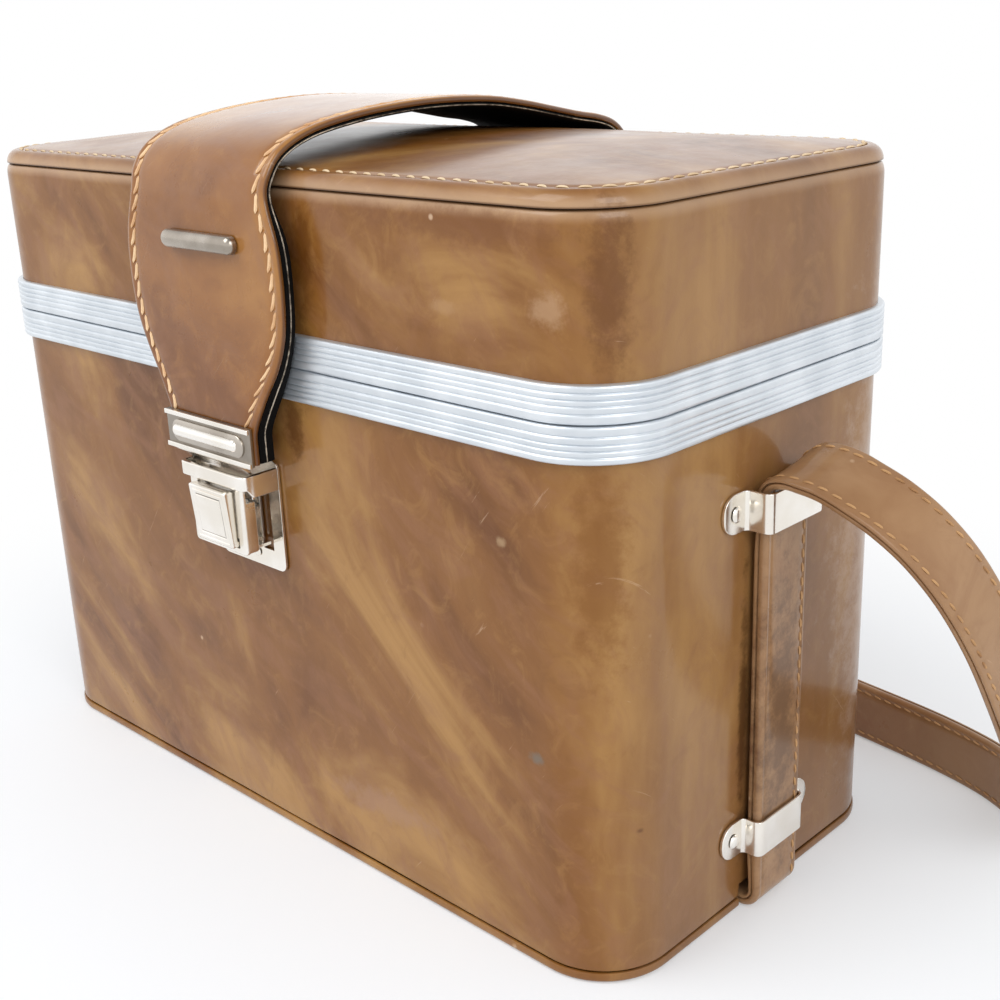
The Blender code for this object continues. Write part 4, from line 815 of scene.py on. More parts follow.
RIM_HIGH = WALL_LOW[2] - GAP
RIM_EDGE = 1.6 * MM
RIM_PROUD = 0.5 * MM
RIM_DEPTH = 3 * MM
RIM_BEVEL = (0.3 * MM, 0.8 * MM)


def foot_rim():
    """The rounded rim of the bottom board in two runs, front and rear, between the strap's notches."""
    under = rounding((-RIM_EDGE, 0), (RIM_EDGE + RIM_PROUD, RIM_EDGE), 7, steep=False)
    edge = [(RIM_PROUD, RIM_HIGH - RIM_BEVEL[1]), (RIM_PROUD - RIM_BEVEL[0], RIM_HIGH)]
    section = [(-RIM_DEPTH, 0.0), *under, *edge, (-RIM_DEPTH, RIM_HIGH)]
    turns = outline(cuts=NOTCH_CUTS[2:])
    points = around(section, turns)
    towards_y = np.sin(turns[:, 2])
    y = turns[:, 1] * STRAIGHT_Y * (np.abs(towards_y) < 0.5) + HALF_Y * towards_y.round()
    runs = []
    for towards in (-1, 1):
        keep = towards * y > NOTCH_HALF
        first = np.flatnonzero(keep & ~np.roll(keep, 1))[0]
        order = np.roll(np.arange(len(turns)), -first)[:keep.sum()]
        runs.append(Patch(capped(points[:, order].transpose(1, 0, 2))))
    build("foot_rim", runs, [COVER], "case")


# The ribbed frames along the seam

FRAME_HEIGHT = 11.3 * MM
FRAME_STAND = 2.3 * MM
FRAME_INNER = 5.3 * MM
# Where the fine grooves run and how wide they are, as shares of a frame's height from the seam
FRAME_GROOVE_SHARES = ((0.27, 0.05), (0.47, 0.04), (0.63, 0.04), (0.8, 0.05))
FRAME_GROOVE_DEPTH = 0.32 * MM
FRAME_BEAD = 0.9 * MM
FRAME_BAND_ROUND = 0.12 * MM
FRAME_ROWS = 90


def frame_section(towards):
    """A frame's closed section: soft bands between fine grooves, rounded at the seam and at the free
    edge, a turned edge against the wall and a leg inside."""
    up = np.linspace(0, 1, FRAME_ROWS)
    out = np.full(len(up), FRAME_STAND)
    for middle, wide in FRAME_GROOVE_SHARES:
        out -= FRAME_GROOVE_DEPTH * bump_at(up, middle, wide / 2)
    edges = np.array([0, *(middle for middle, _ in FRAME_GROOVE_SHARES), 1])
    band = np.searchsorted(edges, up, side="right").clip(1, len(edges) - 1)
    inside = (up - edges[band - 1]) / (edges[band] - edges[band - 1])
    out -= FRAME_BAND_ROUND * (2 * inside - 1) ** 2
    out -= FRAME_BEAD * (1 - quarter_round(np.minimum(up, 1 - up) * FRAME_HEIGHT, FRAME_BEAD))
    back = [(GAP * 0.2, 1.0), (GAP * 0.2, 0.12), (-FRAME_INNER, 0.12), (-FRAME_INNER, 0.0)]
    outer = list(zip(out, GAP / 2 + up * FRAME_HEIGHT))
    inner = [(x, GAP / 2 + share * FRAME_HEIGHT) for x, share in back]
    return [(x, SEAM + towards * z) for x, z in outer + inner]


def seam_frames():
    """The body's and the lid's ribbed frame, each as one closed band round the case."""
    for name, towards, body in (("lower_valance", -1, "case"), ("upper_valance", 1, "lid")):
        points = around(frame_section(towards), outline(40, 16, 28))
        points[:FRAME_ROWS] = settle(points[:FRAME_ROWS], 0.05 * MM, 8, 120 * MM)
        band = Patch(points, closed=True)
        build("ribbed_" + name, [band], [ALUMINIUM], body, [name], crease=55)


# The carry strap: its route from the tail over the arch to the rear end

STRAP_FACE = 89.6 * MM
TAIL_FACE = 93.8 * MM
STRAP_OUTER = 2.2 * MM
STRAP_LINING = 1.4 * MM
LINING_BACK = 83.2 * MM
TAIL_HALF, FACE_HALF, HANDLE_HALF = 24 * MM, 43.5 * MM, 38 * MM
STRAP_DRIFT = -3.4 * MM
TAIL_END = 151.4 * MM
BAR_LEVEL = 224 * MM
REAR_END = 203 * MM
CREST = 265.5 * MM
STRAP_STITCH = 4.2 * MM
# The rows of the solid's route: height from tail end to bar, stand from face to tail, and widening
TAIL_SHARES = (
    (0.0, 1.0, 0.0), (0.08, 1.0, 0.0), (0.17, 0.95, 0.03), (0.32, 0.62, 0.33), (0.47, 0.24, 0.7),
    (0.62, 0.05, 0.93), (0.8, 0.0, 1.0), (1.0, 0.0, 0.95),
)
# Y as a share of the strap's face, and height between groove and crest
ARCH_SHARES = (
    (-0.993, -0.14), (-0.969, 0.2), (-0.898, 0.51), (-0.759, 0.745), (-0.558, 0.892),
    (-0.335, 0.978), (-0.112, 1.0), (0.134, 0.953), (0.335, 0.84), (0.513, 0.703),
    (0.67, 0.582), (0.792, 0.504), (0.893, 0.384), (0.963, 0.172), (0.995, -0.142),
)
# Half of a section from the underside's middle to the face's middle: in from the edge, in mm, and
# height as a share of the thickness
OUTER_EDGE_SHARES = (
    (9.0, 0.0), (0.6, 0.0), (0.15, 0.1), (0.0, 0.3), (0.05, 0.55), (0.35, 0.78), (0.9, 0.92), (1.8, 0.98),
    (2.4, 0.96), (3.2, 0.88), (4.2, 0.76), (5.2, 0.87), (6.1, 0.95), (8.0, 0.99), (14.0, 1.0),
)
LINING_EDGE_SHARES = ((9.0, 0.0), (1.2, 0.0), (0.7, 0.25), (0.6, 0.6), (0.8, 0.95), (9.0, 1.0))
RAW_EDGE_HIGH = 0.45 * MM
RAW_EDGE_DEPTH = 0.8 * MM
STRAP_WAVE = 0.18 * MM
RAW_EDGE_SHARES = ((2.5, 0.0), (0.7, 0.0), (0.35, 0.25), (0.35, 0.75), (0.7, 1.0), (2.5, 1.0))


def carry_frames():
    """The strap's outer face line, half widths, and the directions across and outward."""
    rows = []
    for height, stand, widen in TAIL_SHARES:
        z = TAIL_END + height * (BAR_LEVEL - TAIL_END)
        rows.append((STRAP_DRIFT * widen, -STRAP_FACE - stand * (TAIL_FACE - STRAP_FACE), z,
                     TAIL_HALF + widen * (FACE_HALF - TAIL_HALF)))
    for across, height in ARCH_SHARES:
        drift = STRAP_DRIFT * float(ease(-across, 0.0, 0.8))
        rows.append((drift, across * STRAP_FACE, GROOVE + height * (CREST - GROOVE), HANDLE_HALF))
    rows.append((0, STRAP_FACE, BAR_LEVEL, (HANDLE_HALF + FACE_HALF) / 2))
    rows.append((0, STRAP_FACE, REAR_END, FACE_HALF))
    line = even(curve_through(rows, 14), 2.2 * MM)
    route, halves = line[:, :3] + Y * CENTRE_Y, line[:, 3]
    tangents = unit(np.gradient(route, axis=0))
    sides = np.broadcast_to(X, route.shape)
    return route, sides, np.cross(sides, tangents), halves


def strap_layer(name, finish, thickness, depth, shares, stands_for, stretch=0.0, sink=0.0):
    """One layer of the carry strap: its section carried along the route at a depth under its face. Where
    the strap stands off the wall in front, its back may stretch towards the wall, or the layer sink. The
    black lining's back, stretched so, stands partly for the shade in the gap between strap and wall."""
    route, sides, ups, halves = carry_frames()
    across, height = strap_section(shares, halves, thickness)
    points_each = across.shape[1]
    front = (route[:, 1] < 0) * (1 - ease(route[:, 2], 225 * MM, 245 * MM))
    deeper = front * (CENTRE_Y - route[:, 1] - LINING_BACK - STRAP_OUTER - GAP - STRAP_LINING)
    deeper = np.clip(deeper, 0, 5 * MM)[:, None]
    middle_share = np.abs(across) / halves[:, None]
    spots = np.repeat(route[:, None], points_each, 1) + X * across[..., None]
    soft = STRAP_WAVE * ripple(spots, 21, 45 * MM)
    height = height + (soft * (1 - middle_share**4) * (height > thickness / 2) if not depth else 0)
    height = height - deeper * (stretch * (1 - height / thickness) + sink)
    points = carried(route, sides, ups, across, height - thickness - depth)
    strap_piece(name, points, route, across, height, finish, "lid", stands_for)


def carry_strap():
    """The brown strap with its stitches, the pale raw edge under it and the black lining."""
    strap_layer(
        "carry_strap_leather", STRAP_BROWN, STRAP_OUTER, 0, OUTER_EDGE_SHARES,
        ["carry_strap_outer"],
    )
    strap_layer(
        "carry_strap_raw_edge", RAW_EDGE, RAW_EDGE_HIGH, STRAP_OUTER + RAW_EDGE_DEPTH,
        RAW_EDGE_SHARES, [], sink=0.42,
    )
    # the black lining's back stretches to the wall in front: real lining, and partly a dark sheet
    # standing for the shade in the gap
    strap_layer(
        "carry_strap_black_lining", BLACK_LINING, STRAP_LINING, STRAP_OUTER + GAP,
        LINING_EDGE_SHARES, ["carry_strap_lining"], stretch=1.0,
    )
    route, sides, ups, halves = carry_frames()
    strap_stitches(
        "carry_strap_stitches", route, sides, ups, halves - STRAP_STITCH, [-0.03 * STRAP_OUTER], "lid",
        THREADS, CARRY_STITCHES, 0.34,
    )


# The shoulder strap's held run, up both ends and under the case

SHOULDER_X = HALF_X + 4.7 * MM
SHOULDER_BEND = 5 * MM
RUN_END = 146.6 * MM
RUN_UP, RUN_UNDER = 49, 58


def shoulder_run():
    """The held length: straight up each end, round a bend at the foot and flat underneath."""
    middle = GAP + SHOULDER_THICK / 2
    bend = rounding((SHOULDER_X, middle + SHOULDER_BEND), (-SHOULDER_BEND, -SHOULDER_BEND), 9)
    upright = np.linspace((SHOULDER_X, RUN_END), bend[0], RUN_UP + 1)[:-1]
    right = np.concatenate([upright, bend])
    under = np.linspace(bend[-1], bend[-1] * (-1, 1), RUN_UNDER + 2)[1:-1]
    route = np.insert(np.concatenate([right, under, right[::-1] * (-1, 1)]), 1, CENTRE_Y, axis=1)
    tangents = unit(np.gradient(route, axis=0))
    sides = np.broadcast_to(Y, route.shape)
    ups = -np.cross(sides, tangents)
    from_inside = route - np.array((0, CENTRE_Y, 60 * MM))
    ups *= np.sign((ups * from_inside).sum(axis=1))[:, None]
    deeper = ease(route[:, 2], 8 * MM, 24 * MM) * (1 - ease(route[:, 2], 130 * MM, 145 * MM))
    shoulder_piece(
        "shoulder_strap_held_run", route, sides, ups, "shoulder_strap_run", 1 + 0.2 * deeper
    )
    shown = route[:, 2] > SHOULDER_BEND
    for name, keep in (("right", shown & (route[:, 0] > 0)), ("left", shown & (route[:, 0] < 0))):
        strap_stitches(
            "shoulder_run_stitches_" + name, route[keep], sides[keep], ups[keep],
            SHOULDER_HALF - SHOULDER_STITCH, [SHOULDER_THICK * 0.44], "case", BROWN_THREADS,
            SHOULDER_STITCHES, edges=[1],
        )


# Sheet metal and mounded metal forms


def filleted(points, radius):
    """A line through points with its corners rounded: each inner corner becomes a short curve that
    starts and ends a radius away from it."""
    points = np.array(points, float)
    before, middle, after = points[:-2], points[1:-1], points[2:]
    share = np.linspace(0, 1, 6)[None, :, None]
    start = (middle - unit(middle - before) * radius)[:, None]
    end = (middle + unit(after - middle) * radius)[:, None]
    bends = (1 - share) ** 2 * start + 2 * share * (1 - share) * middle[:, None] + share**2 * end
    return np.concatenate([points[:1], bends.reshape(-1, 3), points[-1:]])


def sheet_strip(route, across, thickness, halves, edge=0.25 * MM):
    """A strip of sheet along a route, with rounded edges: its width lies along one direction, and it
    is as wide as the halves say at each point of the route."""
    sides = np.broadcast_to(np.array(across, float), route.shape)
    ups = np.cross(sides, unit(np.gradient(route, axis=0)))
    angle = np.concatenate([np.linspace(turn, turn + 1, 4) * math.pi / 2 for turn in range(4)])
    sign_x = np.repeat((1, -1, -1, 1), 4)
    sign_z = np.repeat((1, 1, -1, -1), 4)
    halves = np.broadcast_to(halves, len(route))[:, None]
    width = np.clip(halves - edge, 0, None) * sign_x + np.minimum(edge, halves) * np.cos(angle)
    height = sign_z * (thickness / 2 - edge) + edge * np.sin(angle)
    points = carried(route, sides, ups, width, np.broadcast_to(height, width.shape))
    return Patch(capped(points))


def slab(seat, right, up, half_x, half_y, corner, thickness, edge=0.25 * MM):
    """A flat plate with rounded corners and edges, from its back face's middle line round to the
    front face's. It stands on its seat towards right cross up."""
    reach = min(half_x, half_y)
    back = rounding((edge, 0), (-edge, edge), 4, steep=False)
    front = rounding((0, thickness - edge), (edge, edge), 4)
    steps = [(reach, 0), *back, *front, (reach, thickness)]
    return Patch(mounded(half_x, half_y, corner, steps, seat, right, up))


def pill(seat, right, up, half_x, half_y, height, base=0.0):
    """A bar with round ends that stands on its seat, with steep low sides and a rounded back."""
    tall = height - base
    back = rounding((0, base + 0.34 * tall), (half_y, 0.66 * tall), 14)
    steps = [(half_y, base), (0, base), *back]
    return Patch(mounded(half_x, half_y, half_y, steps, seat, right, up, outline(20, 2, 14)))


def ear_halves(route, half):
    """Half widths of a strip whose two ends are half circles."""
    travelled = along(route)
    return half * quarter_round(np.minimum(travelled, travelled[-1] - travelled), half)


# A rivet head's profile, from its top down, as shares of its radius and its height
RIVET_SHARES = (
    (0.0, 1.0), (0.2, 0.98), (0.4, 0.92), (0.6, 0.81), (0.78, 0.63), (0.91, 0.4), (1.0, 0.12),
    (0.97, 0.0), (0.0, 0.0),
)


def rivet(node, direction, radius, height):
    """A round rivet head, turned about the direction that it faces."""
    low, high = place(node)
    direction = np.array(direction, float)
    middle = (low + high) / 2
    seat = middle + direction * ((np.where(direction > 0, high, low) - middle) @ direction - height)
    profile = np.array(RIVET_SHARES)[::-1] * (radius, height)
    return Patch(turned(profile, seat, direction))


def rivets():
    """Every rivet that shows: on the brackets, the hinge leaves and the lock's plate."""
    large, small = (2.6 * MM, 1.1 * MM), (1.7 * MM, 0.7 * MM)
    sets = [(f"bracket_rivet_{end}_{n}", X * side, large, "case")
            for side, end in ENDS for n in range(1, 5)]
    sets += [(f"hinge_body_rivet_{n}", Y, small, "case") for n in range(1, 5)]
    sets += [(f"hinge_lid_rivet_{n}", Y, small, "lid") for n in range(1, 5)]
    sets += [(f"lock_rivet_{n}", -Y, small, "case") for n in (1, 2)]
    for node, direction, size, body in sets:
        build(node + "_head", [rivet(node, direction, *size)], [NICKEL], body, [node])


# Bars that pin the carry strap

BAR_HALF, BAR_HIGH, BAR_STAND = 20 * MM, 3.1 * MM, 3.9 * MM
BAR_POST_X, BAR_POST_RADIUS, BAR_POST_LOW, BAR_POST_HIGH = 14 * MM, 1.5 * MM, -3 * MM, 1 * MM


def strap_bars():
    """Two bars with round ends in half-shaded nickel, a painted shade, each on two posts through the
    strap.
    """
    for node, towards in (("strap_bar_front", -1), ("strap_bar_rear", 1)):
        seat = np.array((0, CENTRE_Y + towards * STRAP_FACE, BAR_LEVEL))
        patches = [pill(seat, -X * towards, Z, BAR_HALF, BAR_HIGH, BAR_STAND, GAP)]
        profile = [(0, BAR_POST_LOW), (BAR_POST_RADIUS, BAR_POST_LOW), (BAR_POST_RADIUS, BAR_POST_HIGH),
                   (0, BAR_POST_HIGH)]
        for end in (-1, 1):
            patches.append(Patch(turned(profile, seat + X * end * BAR_POST_X, Y * towards, 16)))
        build("polished_" + node, patches, [NICKEL_HALF_SHADE], "lid", [node])


# The tuck lock

TONGUE_TOP = place("lock_tongue")[1][2]
TONGUE_FRONT = 95.4 * MM
TONGUE_SHEET = 1.3 * MM
TONGUE_FOLD = 150.6 * MM
BLADE_FRONT = 91.0 * MM
BLADE_SHOULDER = 146.2 * MM
BLADE_TIP = 137.2 * MM
TONGUE_HALF = 24.2 * MM
BLADE_HALF = 16.2 * MM
RIDGE_HALF = 0.85 * MM
RIDGE_STAND = 1.0 * MM
# Half length, half height and stand of the swell on the plate, and of the pill on the swell
SWELL_SIZE = (20.6 * MM, 4 * MM, 1.4 * MM)
PILL_SIZE = (18.4 * MM, 2.2 * MM, 2.7 * MM)


def lock_tongue():
    """The tongue: a plate in painted shade folded in to a bright blade, a ridge along the plate's upper
    and lower edge, and a swell in painted half shade with a bright pill on it."""
    front = CENTRE_Y - TONGUE_FRONT + TONGUE_SHEET / 2
    blade = CENTRE_Y - BLADE_FRONT + TONGUE_SHEET / 2
    line = [(0, front, TONGUE_TOP), (0, front, TONGUE_FOLD), (0, blade, BLADE_SHOULDER),
            (0, blade, BLADE_TIP)]
    route = even(filleted(line, 1.2 * MM), 0.4 * MM)
    widen = ease(route[:, 2], TONGUE_FOLD - 0.9 * MM, TONGUE_FOLD + 0.5 * MM)
    halves = BLADE_HALF + (TONGUE_HALF - BLADE_HALF) * widen
    face = np.array((0, front - TONGUE_SHEET / 2 + 0.05 * MM, 0))
    strip = sheet_strip(route, X, TONGUE_SHEET, halves).points[0]
    fold = np.flatnonzero(strip[:, :, 2].mean(axis=1) > TONGUE_FOLD)[-1]
    # painted shade: the plate in the darkest nickel, the blade bright
    patches = [Patch(strip[:fold + 1], finish=2), Patch(strip[fold:])]
    for level in (TONGUE_TOP - RIDGE_HALF, TONGUE_FOLD + RIDGE_HALF + 0.3 * MM):
        patches.append(slab(face + Z * level, X, Z, TONGUE_HALF, RIDGE_HALF, 0.3 * MM, RIDGE_STAND))
    middle = (TONGUE_TOP + TONGUE_FOLD) / 2
    swell = pill(face + Z * middle, X, Z, *SWELL_SIZE)
    # painted half shade on the swell
    swell.finish = 1
    patches += [swell, pill(face + (-0.5 * MM, 0, 0) + Z * (middle + 0.3 * MM), X, Z, *PILL_SIZE)]
    finishes = [NICKEL, NICKEL_HALF_SHADE, SHADED_NICKEL]
    build("lock_tongue_plate", patches, finishes, "lid", ["lock_tongue"])


CATCH_FOOT = place("lock_catch_frame")[0][2]
PLATE_FRONT = 81.3 * MM
CATCH_FRONT = 94.6 * MM
CATCH_SHEET = 1.4 * MM
CATCH_HALF = 15.2 * MM
CATCH_TOP = 142.5 * MM
WINDOW_HALF, WINDOW_LOW, WINDOW_HIGH = 10.9 * MM, 119.0 * MM, 141.0 * MM
BRIDGE_FRONT = 96.4 * MM
BRIDGE_HALF = 18.7 * MM
BRIDGE_SHEET = 1.8 * MM
BRIDGE_LEVEL, BRIDGE_TALL = 144.0 * MM, 5 * MM
FLANGE_SHEET = 1.2 * MM
FLANGE_BACK, FLANGE_TOP = 89.7 * MM, 136 * MM


def catch_window():
    """The frame round the button: a rounded section carried round from its outer to its inner edge."""
    turns = outline(16, 12, 8)
    shares = ((0, 0), (0, 0.7), (0.05, 0.93), (0.12, 1), (0.88, 1), (0.95, 0.93), (1, 0.7), (1, 0))
    outer = (CATCH_HALF, (CATCH_TOP - CATCH_FOOT) / 2, (CATCH_TOP + CATCH_FOOT) / 2, 1.5 * MM)
    inner = (WINDOW_HALF, (WINDOW_HIGH - WINDOW_LOW) / 2, (WINDOW_HIGH + WINDOW_LOW) / 2, 0.7 * MM)
    share, depth = np.array(shares).T[..., None]
    half_x, half_z, middle, corner = (a + (b - a) * share for a, b in zip(outer, inner))
    x, z = outline_spots(turns, half_x, half_z, corner)
    y = CENTRE_Y - CATCH_FRONT + CATCH_SHEET * (1 - depth) + 0 * x
    return Patch(np.stack([x, y, middle + z], axis=-1), closed=True)


def lock_catch():
    """The catch: the window frame with its side flanges and foot, and a bridge bent back to the plate."""
    front = CENTRE_Y - BRIDGE_FRONT + BRIDGE_SHEET / 2
    back = CENTRE_Y - PLATE_FRONT - GAP
    leg = BRIDGE_HALF - BRIDGE_SHEET / 2
    line = [(x, y, BRIDGE_LEVEL) for x, y in ((-leg, back), (-leg, front), (leg, front), (leg, back))]
    route = even(filleted(line, 2.2 * MM), 0.5 * MM)
    drop = 1.5 * MM * ease(route[:, 1], front + 1 * MM, front + 4 * MM)
    route[:, 2] -= drop
    patches = [catch_window(), sheet_strip(route, Z, BRIDGE_SHEET, BRIDGE_TALL / 2 + drop, 0.45 * MM)]
    face = CENTRE_Y - CATCH_FRONT
    reach = CATCH_FRONT - FLANGE_BACK
    height = FLANGE_TOP - CATCH_FOOT - CATCH_SHEET / 2
    for side in (-1, 1):
        x = side * (CATCH_HALF - FLANGE_SHEET)
        seat = np.array((x, face + reach / 2 + 0.4 * MM, FLANGE_TOP - height / 2))
        patches.append(slab(seat, Y * side, Z, reach / 2, height / 2, 0.8 * MM, FLANGE_SHEET - 0.05 * MM))
    foot_reach = CATCH_FRONT - PLATE_FRONT - GAP - CATCH_SHEET / 2
    seat = np.array((0, face + CATCH_SHEET / 2 + foot_reach / 2, CATCH_FOOT + 0.15 * MM))
    foot_half = CATCH_HALF - 3.2 * MM
    patches.append(slab(seat, X, Y, foot_half, foot_reach / 2, 0.5 * MM, CATCH_SHEET - 0.2 * MM))
    build("lock_catch", patches, [NICKEL], "case", ["lock_catch_frame"])


BUTTON_LOW, BUTTON_HIGH = place("lock_button")
BUTTON_HALF = 10.5 * MM
BUTTON_BACK = 93.5 * MM
BUTTON_LEAN = 1.9 * MM
# Where the two engraved rectangles run in from the edge, half their width, and their depth
OUTER_LINE, INNER_LINE = (1.6 * MM, 0.24 * MM), (3.4 * MM, 0.3 * MM)
LINE_DEPTH = 0.4 * MM


def lock_button():
    """The press button: a wedge whose face leans, with two rectangles engraved inside its edge, of
    which the inner one is darkened as painted shade, and the hub at its foot behind."""
    half_z = (BUTTON_HIGH[2] - BUTTON_LOW[2]) / 2
    middle = (BUTTON_HIGH[2] + BUTTON_LOW[2]) / 2
    thickness = CENTRE_Y - BUTTON_BACK - BUTTON_LOW[1] - BUTTON_LEAN / 2
    edge = 0.7 * MM
    back = [(half_z, 0), (0.2 * MM, 0), (0, 0.2 * MM)]
    rounded = rounding((0, thickness - edge), (edge, edge), 5)
    inset = np.linspace(edge, 5 * MM, 34)[1:]
    lines = LINE_DEPTH * (bump_at(inset, *OUTER_LINE) + bump_at(inset, *INNER_LINE))
    steps = [*back, *rounded, *zip(inset, thickness - lines), (half_z, thickness)]
    seat = np.array((0, CENTRE_Y - BUTTON_BACK, middle))
    face = mounded(BUTTON_HALF, half_z, 0.9 * MM, steps, seat, X, Z, outline(24, 24, 6))
    forward = (seat[1] - face[..., 1]) / thickness
    face[..., 1] -= forward * BUTTON_LEAN / 2 * (face[..., 2] - middle) / half_z
    hub_seat = np.array((0, seat[1] + 2.5 * MM, BUTTON_LOW[2] + 2.4 * MM))
    hub = slab(hub_seat, X, Z, BUTTON_HALF, 2.2 * MM, 0.5 * MM, 2.7 * MM)
    # painted shade: the inner engraved line gets the darkest nickel
    engraved = len(steps) - 1 - len(inset) + np.flatnonzero(np.abs(inset - INNER_LINE[0]) < 0.22 * MM)
    start, end = engraved[0], engraved[-1]
    patches = [Patch(face[:start + 1]), Patch(face[start:end + 1], finish=1), Patch(face[end:]), hub]
    finishes = [NICKEL, SHADED_NICKEL]
    build("lock_press_button", patches, finishes, "button", ["lock_button"])


def bevelled_copy(name, node, finish, body, width):
    """A copy of a solid with its doubles merged, its flat faces whole and its edges rounded."""
    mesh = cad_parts[node].data.copy()
    tidy_mesh(mesh, 50, solid=True)
    piece = placed(name, mesh)
    edges = piece.modifiers.new("edges", "BEVEL")
    edges.width, edges.segments, edges.harden_normals = width, 3, True
    edges.limit_method, edges.angle_limit = "ANGLE", math.radians(50)
    return dress(piece, [finish], body, [node])


# Brackets of the shoulder strap, and the hinges

BRACKET_SHEET = 1 * MM
BRACKET_HIGH = 6.5 * MM
BRACKET_BEND = 2.4 * MM
BRACKET_EAR = 11.8 * MM


def brackets():
    """Each bracket: a strip along Y, with round ears on the wall, bent out and back over the strap."""
    for level in ("upper", "lower"):
        for side, end in ENDS:
            node = f"strap_bracket_{level}_{end}"
            low, high = place(node)
            ear = (high[1] - low[1]) / 2
            half = ear - BRACKET_EAR - BRACKET_SHEET / 2
            wall = HALF_X + GAP + BRACKET_SHEET / 2
            stand = max(abs(low[0]), abs(high[0])) - BRACKET_SHEET / 2
            turn = [(wall, -ear), (wall, -half), (stand, -half), (stand, half), (wall, half), (wall, ear)]
            line = [(side * x, CENTRE_Y + y, (low[2] + high[2]) / 2) for x, y in turn]
            route = even(filleted(line, BRACKET_BEND), 0.45 * MM)
            patch = sheet_strip(route, Z, BRACKET_SHEET, ear_halves(route, BRACKET_HIGH))
            build("bent_" + node, [patch], [NICKEL], "case", [node])


HINGE_X = 95 * MM
HINGE_AXIS_Y = CENTRE_Y + 85.2 * MM
LEAF_SHEET = 1.2 * MM
LEAF_HALF = 18 * MM
LEAF_FAR = 10.5 * MM
LEAF_CLEAR = 3.2 * MM
KNUCKLE = 2.6 * MM
PIN_RADIUS = 1.2 * MM
PIN_HEAD, PIN_BEVEL = 0.8 * MM, 0.4 * MM


def hinge_leaf(middle, towards, spans):
    """A leaf plate and its knuckles, each a tab that curls round the pin, for every span of X."""
    back = HINGE_AXIS_Y - KNUCKLE + LEAF_SHEET / 2
    line = [(middle, back, SEAM + towards * LEAF_FAR), (middle, back, SEAM + towards * LEAF_CLEAR)]
    route = even(np.array(line), 0.8 * MM)
    patches = [sheet_strip(route, X, LEAF_SHEET, LEAF_HALF)]
    radius = KNUCKLE - LEAF_SHEET / 2
    angle = np.linspace(-0.2, 1.72 * math.pi, 30)
    y, z = HINGE_AXIS_Y - radius * np.cos(angle), SEAM - towards * radius * np.sin(angle)
    curl = np.stack([0 * angle, y, z], axis=1)
    tab = np.array(((0, back, SEAM + towards * (LEAF_CLEAR + 0.5 * MM)),))
    for low, high in spans:
        shifted = np.concatenate([tab, curl]) + X * (middle + (low + high) / 2)
        patches.append(sheet_strip(shifted, X, LEAF_SHEET, (high - low) / 2))
    return patches


def hinges():
    """Both hinges: the body's leaf with two knuckles, the lid's with one between them, and the pin."""
    third = LEAF_HALF / 3
    outer = ((-LEAF_HALF, -third - GAP), (third + GAP, LEAF_HALF))
    for side, end in ENDS:
        x = side * HINGE_X
        for node, towards, spans, body in (
            ("hinge_body_leaf_", -1, outer, "case"), ("hinge_lid_leaf_", 1, ((-third, third),), "lid")
        ):
            leaf = hinge_leaf(x, towards, spans)
            build("rolled_" + node + end, leaf, [NICKEL], body, [node + end])
        reach = LEAF_HALF + GAP
        head = reach + PIN_HEAD
        profile = [(0, -reach), (PIN_RADIUS, -reach), (PIN_RADIUS, reach), (KNUCKLE, reach),
                   (KNUCKLE, head - PIN_BEVEL), (KNUCKLE - PIN_BEVEL, head), (0, head)]
        patch = Patch(turned(profile, (x, HINGE_AXIS_Y, SEAM), X * side, 24))
        build("hinge_axle_" + end, [patch], [STEEL], "case", ["hinge_pin_" + end], crease=40)


# Inside: the plush trays and the padded divider

TRAY_SHEET = 2.5 * MM
TRAY_FOOT = 4 * MM


def tray(name, node, body, lip_high, floor_low, floor_high):
    """A lining tray as one closed surface of rings: from under its floor, up the outside, over a soft
    lip and down the inside to the middle of the floor."""
    outer, half = WALL + GAP, TRAY_SHEET / 2
    up = 1 if lip_high > floor_high else -1
    lip = rounding((outer, lip_high - up * half), (half, up * half), 7, end=math.pi)
    bend = rounding((outer + TRAY_SHEET, floor_high + up * TRAY_FOOT), (TRAY_FOOT, -up * TRAY_FOOT), 6)
    steps = [(HALF_Y, floor_low), (outer, floor_low), *lip, *bend, (HALF_Y, floor_high)]
    turns = outline(40, 16, 14)
    inset, level = np.array(steps).T
    x, y = top_ring(inset, turns)
    points = np.stack([x, y, np.broadcast_to(level[:, None], x.shape)], axis=-1)
    build(name, [Patch(points)], [PLUSH], body, [node], crease=60)


def linings():
    """The body's tray, open upward, and the lid's, open downward."""
    low, high = place("body_lining")
    tray("body_plush", "body_lining", "case", high[2], low[2], low[2] + TRAY_SHEET)
    low, high = place("lid_lining")
    tray("lid_plush", "lid_lining", "lid", low[2], high[2], high[2] - TRAY_SHEET)


SEWN_IN = 5 * MM


def divider():
    """The padded divider: both faces swell between a sewn line near the edge and their middle."""
    low, high = place("padded_divider")
    half_y, half_z = (high[1] - low[1]) / 2, (high[2] - low[2]) / 2
    inset = np.concatenate([np.linspace(0, 9 * MM, 22), np.linspace(9 * MM, half_z, 16)[1:]])
    half = (high[0] - low[0]) / 2
    swell = 0.62 + 0.38 * ease(inset, SEWN_IN, 30 * MM) - 0.2 * bump_at(inset, SEWN_IN, 1.1 * MM)
    rise = half * swell * quarter_round(inset, 1.8 * MM)
    steps = [*zip(inset[::-1], -rise[::-1]), *zip(inset[1:], rise[1:])]
    seat = (low + high) / 2
    points = mounded(half_y, half_z, 6 * MM, steps, seat, Y, Z, outline(40, 30, 8))
    pad = build(
        "divider_pad", [Patch(points)], [PLUSH], "divider", ["padded_divider"], crease=70
    )


